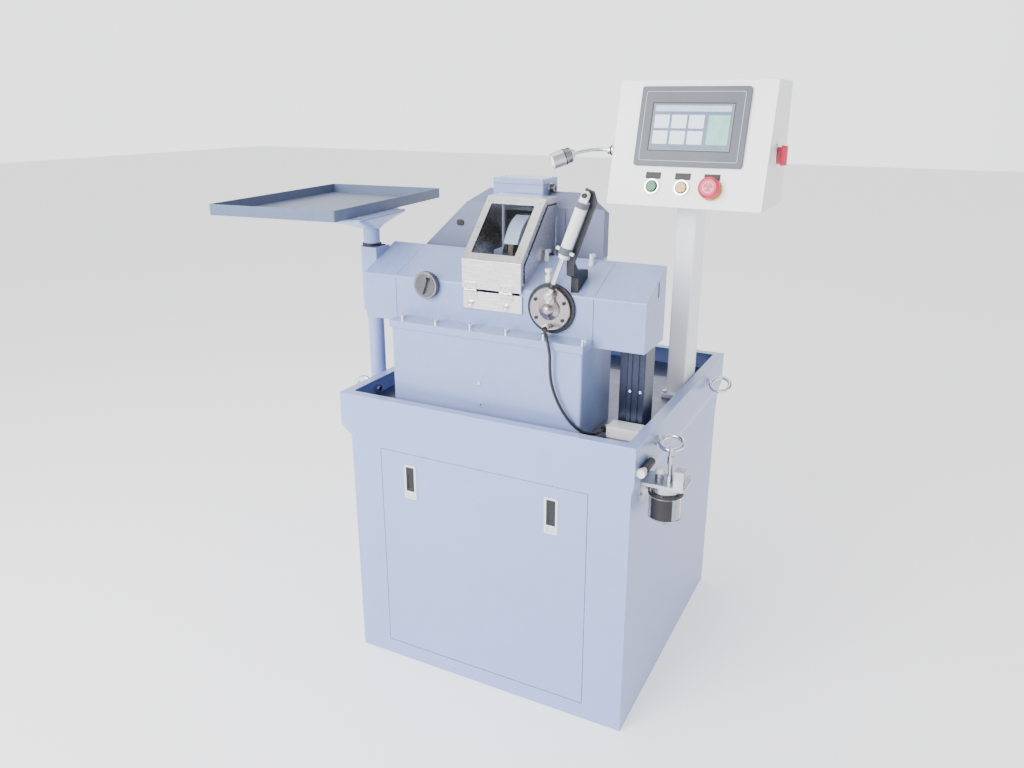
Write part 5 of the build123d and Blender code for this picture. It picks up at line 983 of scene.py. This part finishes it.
# %% [markdown]
# ### Inside the hood
# A curved splash cover follows the front of the grinding wheel and rides on the wheel
# head. Its cross-section is a shallow channel, swept round the wheel's own centre, so it
# keeps the same gap to the wheel all the way.
# %% Wheel cover
wheel_low, wheel_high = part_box("grinding_wheel")
wheel_y, wheel_z = (wheel_low[1] + wheel_high[1]) / 2, (wheel_low[2] + wheel_high[2]) / 2
COVER_GAP, COVER_SIDE, COVER_SHEET, COVER_LIP = 0.0022, 0.009, 0.0012, 0.010
COVER_FROM, COVER_TURN, COVER_STEPS = 24, 50, 10
cover_r = (wheel_high[2] - wheel_low[2]) / 2 + COVER_GAP
left_x, right_x = wheel_low[0] - COVER_SIDE, wheel_high[0] + COVER_SIDE
channel = [
    (left_x, cover_r - COVER_LIP), (left_x, cover_r + COVER_SHEET), (right_x, cover_r + COVER_SHEET),
    (right_x, cover_r - COVER_LIP), (right_x - COVER_SHEET, cover_r - COVER_LIP),
    (right_x - COVER_SHEET, cover_r), (left_x + COVER_SHEET, cover_r),
    (left_x + COVER_SHEET, cover_r - COVER_LIP),
]
work = bmesh.new()
rings = []
for step in range(COVER_STEPS + 1):
    angle = radians(COVER_FROM + COVER_TURN * step / COVER_STEPS)
    rings.append([
        work.verts.new((x, wheel_y - r * cos(angle), wheel_z + r * sin(angle))) for x, r in channel])
skin(work, rings)
work.faces.new(rings[0])
work.faces.new(rings[-1])
add_piece("wheel_splash_cover", work, cover_paint, "wheel_head")

# %% [markdown]
# ## The clamp and its air cylinder
# The crank's flange has a dark knurled ring round it and four screws in its face. The
# cylinder gets dark end collars, and the black push-in collars grip the air hose. A dial
# with fine marks rings the face of the adjuster's knob and turns with it.
# %% Clamp ring and screws
CRANK_X, CRANK_Z = 0.101, 0.792
clamp_at = facing((CRANK_X, -0.204, CRANK_Z), FRONT_WAY)
FLANGE_R, FLANGE_THICK, FACE_R, FACE_THICK = 0.046, 0.005, 0.040, 0.007
KNURL_STEPS = 120
knurl = [FLANGE_R + (0.0009 if k % 2 else 0.0005) for k in range(KNURL_STEPS)]
work = bmesh.new()
turned(work, [
    (FLANGE_R, 0.0004), (knurl, 0.0007), (knurl, FLANGE_THICK), (FLANGE_R, FLANGE_THICK + 0.0006),
    (FACE_R + 0.0003, FLANGE_THICK + 0.0006), (FACE_R + 0.0003, FLANGE_THICK + 0.0001),
    (FLANGE_R, FLANGE_THICK + 0.0001), (FLANGE_R, 0.0004),
], clamp_at, KNURL_STEPS)
add_piece("clamp_ring", work, black_steel)
screw_arm = Matrix.Translation((0.032, 0, FLANGE_THICK + FACE_THICK))
screw_places = [
    clamp_at @ (Matrix.Rotation(radians(angle), 4, "Z") @ screw_arm) for angle in (25, 150, 215, 325)]
add_heads("clamp_screws", socket_screw, screw_places, 0.0034, 0.0024, black_steel)

# %% Hose collars
work = bmesh.new()
exit_way = Vector(hose_points[0]) - Vector(hose_points[1])
ring_band(work, HOSE_RADIUS, 0.0048, -0.0005, 0.0045, facing(hose_points[0], exit_way, RIGHT_WAY), 24)
end_way = Vector(hose_points[-1]) - Vector(hose_points[-2])
ring_band(work, HOSE_RADIUS, 0.0060, -0.0030, 0.0045, facing(hose_points[-1], end_way), 24)
add_piece("hose_collars", work, black_plastic)

# %% Cylinder collars, lock nut and rear pin screw
LEAN = radians(8)
CRANK_ARM, CYLINDER_Y = 0.027, -0.228
pin = Vector((CRANK_X + CRANK_ARM * sin(LEAN), CYLINDER_Y, CRANK_Z + CRANK_ARM * cos(LEAN)))
rear = Vector((0.171, CYLINDER_Y, 1.000))
cylinder_way = (rear - pin).normalized()
cylinder_at = facing(pin, cylinder_way, FRONT_WAY)
work = bmesh.new()
for low, high in ((0.0835, 0.0965), (0.1700, 0.1805)):
    ring_band(work, 0.0100, 0.0108, low, high, cylinder_at, 32)
add_piece("cylinder_collars", work, grey_plastic, "barrel")
work = bmesh.new()
ring_band(work, 0.0046, 0.0066, 0.0155, 0.0205, cylinder_at, 24)
turned(work, [
    (hexagon(0.0058), 0.021), (hexagon(0.0058), 0.0245), (0.0048, 0.0252), (0.0045, 0.021)], cylinder_at)
add_piece("rod_lock_nut", work, black_steel, "rod")
pin_face = facing(rear + Vector((0, -0.007, 0)), FRONT_WAY)
add_heads("rear_pin_screw", socket_screw, [pin_face], 0.0042, 0.0026, black_steel)

# %% Dial of the adjuster knob
KNOB_FACE_Y = -0.2163
DIAL_MARKS, DIAL_R = 24, 0.0240
work = bmesh.new()
knob_low, knob_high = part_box("adjuster_knob")
knob_x, knob_z = (knob_low[0] + knob_high[0]) / 2, (knob_low[2] + knob_high[2]) / 2
knob_face = facing((knob_x, KNOB_FACE_Y, knob_z), FRONT_WAY)
ring_band(work, 0.0222, 0.0258, 0.0, 0.0010, knob_face, 48)
for step in range(DIAL_MARKS):
    angle = 2 * pi * step / DIAL_MARKS
    mark = knob_face @ Matrix.Rotation(angle, 4, "Z") @ Matrix.Translation((DIAL_R, 0, 0.0010))
    plate(work, (0.0030, 0.0005), 1e-4, 0.0002, mark, 5e-5)
add_piece("knob_dial", work, satin_dial, "adjuster")
print("clamp pieces done")

# %% [markdown]
# ## The wheel guard and the terminal box
# The guard is screwed down along its foot, has a folded joint beside the hood and an oval
# plug on the left. A cable gland leaves the terminal box on the right.
# %% Guard screws, plug and joint
guard_low, guard_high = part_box("wheel_guard")
guard_front = guard_low[1]
GUARD_SCREW_Z = 0.840
front_xs, back_xs = (-0.250, -0.190, -0.130, 0.055, 0.074), (-0.240, -0.160, -0.080, 0.000, 0.070)
screw_places = [facing((x, guard_front, GUARD_SCREW_Z), FRONT_WAY) for x in front_xs]
screw_places += [facing((x, guard_high[1], GUARD_SCREW_Z), BACK_WAY) for x in back_xs]
add_heads("guard_screws", hex_bolt, screw_places, 0.0036, 0.0028, zinc, "wheel_head")
plug_at = facing((-0.181, guard_front, 0.909), FRONT_WAY)
work = bmesh.new()
plate(work, (0.018, 0.012), 0.0059, 0.0022, plug_at, 0.0008)
plate(work, (0.010, 0.005), 0.0024, 0.0030, plug_at, 0.0006)
add_piece("guard_plug", work, black_plastic, "wheel_head")
work = bmesh.new()
joint_line = [(0.0575, guard_front, z) for z in (0.834, 0.9525)]
bent_strip(work, joint_line, 0.0012, -0.0002, RIGHT_WAY)
add_piece("guard_joint", work, seam_filler, "wheel_head")

# %% Terminal box lid and gland
terminal_low, terminal_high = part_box("terminal_box")
TERMINAL_WALL, LID_DEPTH = 0.003, 0.012
terminal_middle = (
    (terminal_low[0] + TERMINAL_WALL) / 2, (terminal_low[1] + terminal_high[1]) / 2,
    terminal_high[2] - LID_DEPTH,
)
work = bmesh.new()
lid_size = (TERMINAL_WALL - terminal_low[0], terminal_high[1] - terminal_low[1])
line_outer = (lid_size[0] + 0.0006, lid_size[1] + 0.0006)
line_inner = (lid_size[0] - 0.0004, lid_size[1] - 0.0004)
open_frame(work, line_outer, line_inner, 0.0033, 0.0009, facing(terminal_middle, TOP, BACK_WAY))
add_piece("terminal_lid_line", work, seam_filler, "wheel_head")
screw_places = [
    facing((x, y, terminal_high[2]), TOP, BACK_WAY) for x in (-0.101, -0.006) for y in (-0.029, 0.023)]
add_heads("terminal_lid_screws", cross_screw, screw_places, 0.0030, 0.0014, chrome, "wheel_head")
gland_at = facing((TERMINAL_WALL, -0.012, 0.985), RIGHT_WAY)
work = bmesh.new()
turned(work, [
    (hexagon(0.0112), 0.0002), (hexagon(0.0112), 0.0046), (0.0098, 0.0053), (0.0071, 0.0053)], gland_at)
add_piece("gland_nut", work, chrome, "wheel_head")
work = bmesh.new()
ring_band(work, 0.0070, 0.0084, 0.0056, 0.0135, gland_at, 24)
turned(work, [(0.0072, 0.0135), (0.0060, 0.0150), (0, 0.0152)], gland_at)
add_piece("gland_cap", work, black_plastic, "wheel_head")
print("guard pieces done")

# %% [markdown]
# ## The lamp
# The work lamp has a frosted white lens in its mouth and cooling ribs behind its shade.
# %% Lamp lens and ribs
lamp_back, lamp_front = Vector((0.040, 0.015, 1.0506)), Vector((0.009, -0.010, 1.0365))
lamp_way = lamp_front - lamp_back
lamp_at = facing(lamp_back, lamp_way)
lamp_length = lamp_way.length
work = bmesh.new()
turned(work, [(0.0128, lamp_length - 0.0029), (0.0128, lamp_length - 0.0016), (0.0110, lamp_length - 0.0009),
              (0.0060, lamp_length - 0.0004), (0, lamp_length - 0.0002)], lamp_at, 40)
add_piece("lamp_lens", work, lamp_white)
RIB_LOW, RIB_HIGH, RIB_PITCH = 0.0035, 0.0048, 0.0027
work = bmesh.new()
for step in range(4):
    ring_band(work, 0.0139, 0.0152, RIB_LOW + RIB_PITCH * step, RIB_HIGH + RIB_PITCH * step, lamp_at, 40)
ring_band(work, 0.0160, 0.0166, 0.0150, 0.0175, lamp_at, 40)
add_piece("lamp_ribs", work, black_steel)
work = bmesh.new()
ring_band(work, 0.0080, 0.0100, 0.003, 0.008, facing((0.118, 0.050, 1.058), LEFT_WAY), 32)
add_piece("lamp_socket_ring", work, black_plastic)

# %% [markdown]
# ## The control box
# The panel leans back, so all its pieces share one leaning frame: X to the right, Y up the
# panel and Z out of it. The screen shows a plain page of blank tiles, with no lettering.
# %% The panel's frame
BOX_FRONT_LOW, BOX_FRONT_HIGH = 0.009, 0.075
box_low, box_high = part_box("control_box_back")
box_bottom, box_top, box_back = box_low[2], box_high[2], box_high[1]
panel_lean = atan2(BOX_FRONT_HIGH - BOX_FRONT_LOW, box_top - box_bottom)
panel_at = facing((0, BOX_FRONT_LOW, box_bottom), (0, -cos(panel_lean), sin(panel_lean)))


def on_panel(x, height, out=0.0):
    """The panel's frame, moved along it."""
    return panel_at @ Matrix.Translation((x, height, out))


BEZEL_MIDDLE = (0.2685, 0.1530)
BEZEL_THICK = 0.006
SCREEN_MIDDLE = (0.2680, 0.1520)
SCREEN_SIZE = (0.155, 0.088)
SCREEN_LEVEL = 0.0052

# %% Bezel line and screen page
work = bmesh.new()
open_frame(work, (0.189, 0.131), (0.1874, 0.1294), 0.004, 0.00015, on_panel(*BEZEL_MIDDLE, BEZEL_THICK))
add_piece("bezel_line", work, light_trim)
gasket_outer = [side + 0.0030 for side in SCREEN_SIZE]
gasket_inner = [side - 0.0002 for side in SCREEN_SIZE]
work = bmesh.new()
open_frame(work, gasket_outer, gasket_inner, 0.0020, 0.00025, on_panel(*SCREEN_MIDDLE, BEZEL_THICK))
add_piece("screen_gasket", work, black_plastic)


def page_plate(work, size, shift, corner=0.0016, level=SCREEN_LEVEL + 0.0002, thick=0.0001):
    """A thin plate of the page, placed by its shift from the screen's middle."""
    place = on_panel(SCREEN_MIDDLE[0] + shift[0], SCREEN_MIDDLE[1] + shift[1], level)
    plate(work, size, corner, thick, place, 2e-5)


work = bmesh.new()
page_plate(work, [side - 0.004 for side in SCREEN_SIZE], (0, 0), 0.0006, SCREEN_LEVEL, 0.0002)
add_piece("screen_page", work, page_ground)
work = bmesh.new()
page_plate(work, (0.145, 0.011), (0, 0.0345), 0.0010)
add_piece("screen_header", work, page_header)
work = bmesh.new()
for column in range(3):
    for row in range(2):
        page_plate(work, (0.0290, 0.0250), (-0.0575 + 0.0335 * column, 0.0100 - 0.0300 * row))
add_piece("screen_tiles", work, page_tile)
work = bmesh.new()
page_plate(work, (0.0400, 0.0550), (0.0520, -0.0050))
add_piece("screen_side_tile", work, page_accent)

# %% Legend plates and button trims
BUTTON_XS = (0.2066, 0.2646, 0.3204)
BUTTON_LEVEL = 0.039
work = bmesh.new()
for x in BUTTON_XS:
    plate(work, (0.030, 0.0125), 0.0012, 0.0012, on_panel(x, BUTTON_LEVEL + 0.0214), 0.0003)
add_piece("legend_plates", work, black_plastic)
work = bmesh.new()
for x in BUTTON_XS[:2]:
    ring_band(work, 0.0104, 0.0118, 0.0041, 0.0047, on_panel(x, BUTTON_LEVEL), 40)
add_piece("button_inner_rings", work, black_plastic)
work = bmesh.new()
ring_band(work, 0.0152, 0.0215, 0.0001, 0.0012, on_panel(BUTTON_XS[2], BUTTON_LEVEL), 48)
add_piece("stop_back_ring", work, yellow_plastic)
work = bmesh.new()
ring_band(work, 0.0093, 0.0104, 0.0221, 0.0225, on_panel(BUTTON_XS[2], BUTTON_LEVEL), 40)
for step in range(3):
    arrow = on_panel(BUTTON_XS[2], BUTTON_LEVEL, 0.0221) @ Matrix.Rotation(2 * pi * step / 3, 4, "Z")
    plate(work, (0.0016, 0.0042), 0.0005, 0.0004, arrow @ Matrix.Translation((0, 0.0062, 0)), 1e-4)
add_piece("stop_turn_marks", work, white_plastic, "stop")

# %% Switch marks, cover screws and box foot
SWITCH_FACE = (0.4220, 0.106, 1.054)
switch_at = facing(SWITCH_FACE, RIGHT_WAY)
work = bmesh.new()
for step in range(5):
    mark = switch_at @ Matrix.Rotation(radians(45 * step), 4, "Z") @ Matrix.Translation((0.0187, 0, 0))
    plate(work, (0.0026, 0.0011), 3e-4, 0.0002, mark, 5e-5)
add_piece("switch_marks", work, black_plastic)
EDGE_IN = 0.010
screw_places = [
    facing((x, box_back, z), BACK_WAY) for x in (0.126, 0.410)
    for z in (box_bottom + EDGE_IN, (box_bottom + box_top) / 2, box_top - EDGE_IN)]
add_heads("box_cover_screws", cross_screw, screw_places, 0.0036, 0.0020, chrome)
MAST_MIDDLE, MAST_SIZE, FOOT_THICK = (0.2625, 0.115), (0.040, 0.080), 0.004
foot_at = facing((*MAST_MIDDLE, box_bottom), (0, 0, -1), BACK_WAY)
work = bmesh.new()
open_frame(work, (0.072, 0.104), (MAST_SIZE[0] + 0.0004, MAST_SIZE[1] + 0.0004), 0.008, FOOT_THICK, foot_at)
add_piece("box_foot_flange", work, white_paint)
bolt_places = [
    foot_at @ Matrix.Translation((x, y, FOOT_THICK)) for x in (-0.028, 0.028) for y in (-0.044, 0.044)]
add_heads("box_foot_bolts", hex_bolt, bolt_places, 0.0044, 0.0036, zinc)
print("control box pieces done")

# %% [markdown]
# ## The air filter and small hardware
# The filter bowl carries a blank dark label on its front and fine moulded ribs. The head
# has a round knob on the left and a wire clip on the right. The tray is screwed down from
# above, and its post has a plastic collar and two clamp bolts.
# %% Bowl label and ribs
FILTER_X, FILTER_Y, BOWL_R, BOWL_TOP, BOWL_BASE = 0.343, -0.235, 0.030, 0.492, 0.436
bowl_at = facing((FILTER_X, FILTER_Y, 0), TOP, BACK_WAY)
work = bmesh.new()
label_r = BOWL_R + 0.0003
LABEL_FROM, LABEL_TURN, LABEL_STEPS = -130, 80, 16
label_arc = [radians(LABEL_FROM + LABEL_TURN * step / LABEL_STEPS) for step in range(LABEL_STEPS + 1)]
rows = []
for z in (BOWL_BASE + 0.0095, BOWL_TOP - 0.0060):
    spots = [Matrix.Rotation(angle, 4, "Z") @ Vector((label_r, 0, z)) for angle in label_arc]
    rows.append([work.verts.new(bowl_at @ spot) for spot in spots])
for k in range(LABEL_STEPS):
    work.faces.new((rows[0][k], rows[0][k + 1], rows[1][k + 1], rows[1][k]))
add_piece("bowl_label", work, label_black)
RIBS, RIBS_FROM, RIBS_TURN = 18, -35, 250
work = bmesh.new()
for step in range(RIBS):
    angle = radians(RIBS_FROM + RIBS_TURN * step / (RIBS - 1))
    rib = bowl_at @ Matrix.Rotation(angle, 4, "Z") @ Matrix.Translation((BOWL_R - 0.0002, 0, 0))
    rib_at = rib @ Matrix.Translation((0, 0, (BOWL_BASE + BOWL_TOP) / 2)) @ Matrix.Rotation(pi / 2, 4, "Y")
    plate(work, (0.042, 0.0018), 8e-4, 0.0009, rib_at, 3e-4)
add_piece("bowl_ribs", work, bowl_plastic)
work = bmesh.new()
ring_band(work, BOWL_R, BOWL_R + 0.0016, BOWL_TOP - 0.0045, BOWL_TOP + 0.0015, bowl_at, 48)
add_piece("bowl_collar", work, black_plastic)

# %% Filter knob and clip
ARM_TOP = 0.512
knob_at = facing((FILTER_X - 0.013, FILTER_Y, ARM_TOP + 0.012), TOP, BACK_WAY)
work = bmesh.new()
ridged = [0.0088 if k % 2 else 0.0082 for k in range(36)]
turned(work, [
    (0.0080, 0), (ridged, 0.0004), (ridged, 0.0060), (0.0072, 0.0085), (0.0040, 0.0098), (0, 0.0101),
], knob_at, 36)
add_piece("filter_knob", work, white_plastic)
clip_x = FILTER_X + 0.037
clip_route = [
    (clip_x, -0.016, -0.001), (clip_x + 0.001, -0.016, 0.010), (clip_x + 0.001, -0.010, 0.016),
    (clip_x + 0.001, 0.010, 0.016), (clip_x + 0.001, 0.016, 0.010), (clip_x, 0.016, -0.001),
]
round_rod("filter_clip", [(x, FILTER_Y + y, ARM_TOP + z) for x, y, z in clip_route], 0.0009, zinc)
bolt_places = [facing((0.303, FILTER_Y + y, 0.482), RIGHT_WAY) for y in (-0.018, 0.018)]
add_heads("filter_bracket_bolts", hex_bolt, bolt_places, 0.0038, 0.0030, zinc)

# %% Tray and post hardware
POST_X, POST_Y = -0.345, -0.138
TRAY_TURN = radians(6)
TRAY_DEPTH, TRAY_SHEET = 0.022, 0.002
tray_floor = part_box("tray")[1][2] - TRAY_DEPTH + TRAY_SHEET
post_at = Matrix.Translation((POST_X, POST_Y, 0)) @ Matrix.Rotation(TRAY_TURN, 4, "Z")
screw_places = [
    post_at @ Matrix.Translation((x, y, tray_floor)) for x in (-0.034, 0.030) for y in (-0.095, 0.061)]
add_heads("tray_screws", cross_screw, screw_places, 0.0042, 0.0016, zinc, "tray_swing")
work = bmesh.new()
ring_band(work, 0.0170, 0.0200, 0.862, 0.868, Matrix.Translation((POST_X, POST_Y, 0)), 40)
add_piece("post_collar", work, black_plastic)
bolt_places = [facing((-0.334, POST_Y - 0.025, z), FRONT_WAY) for z in (0.531, 0.549)]
add_heads("post_clamp_bolts", hex_bolt, bolt_places, 0.0042, 0.0034, zinc)
print("hardware done")
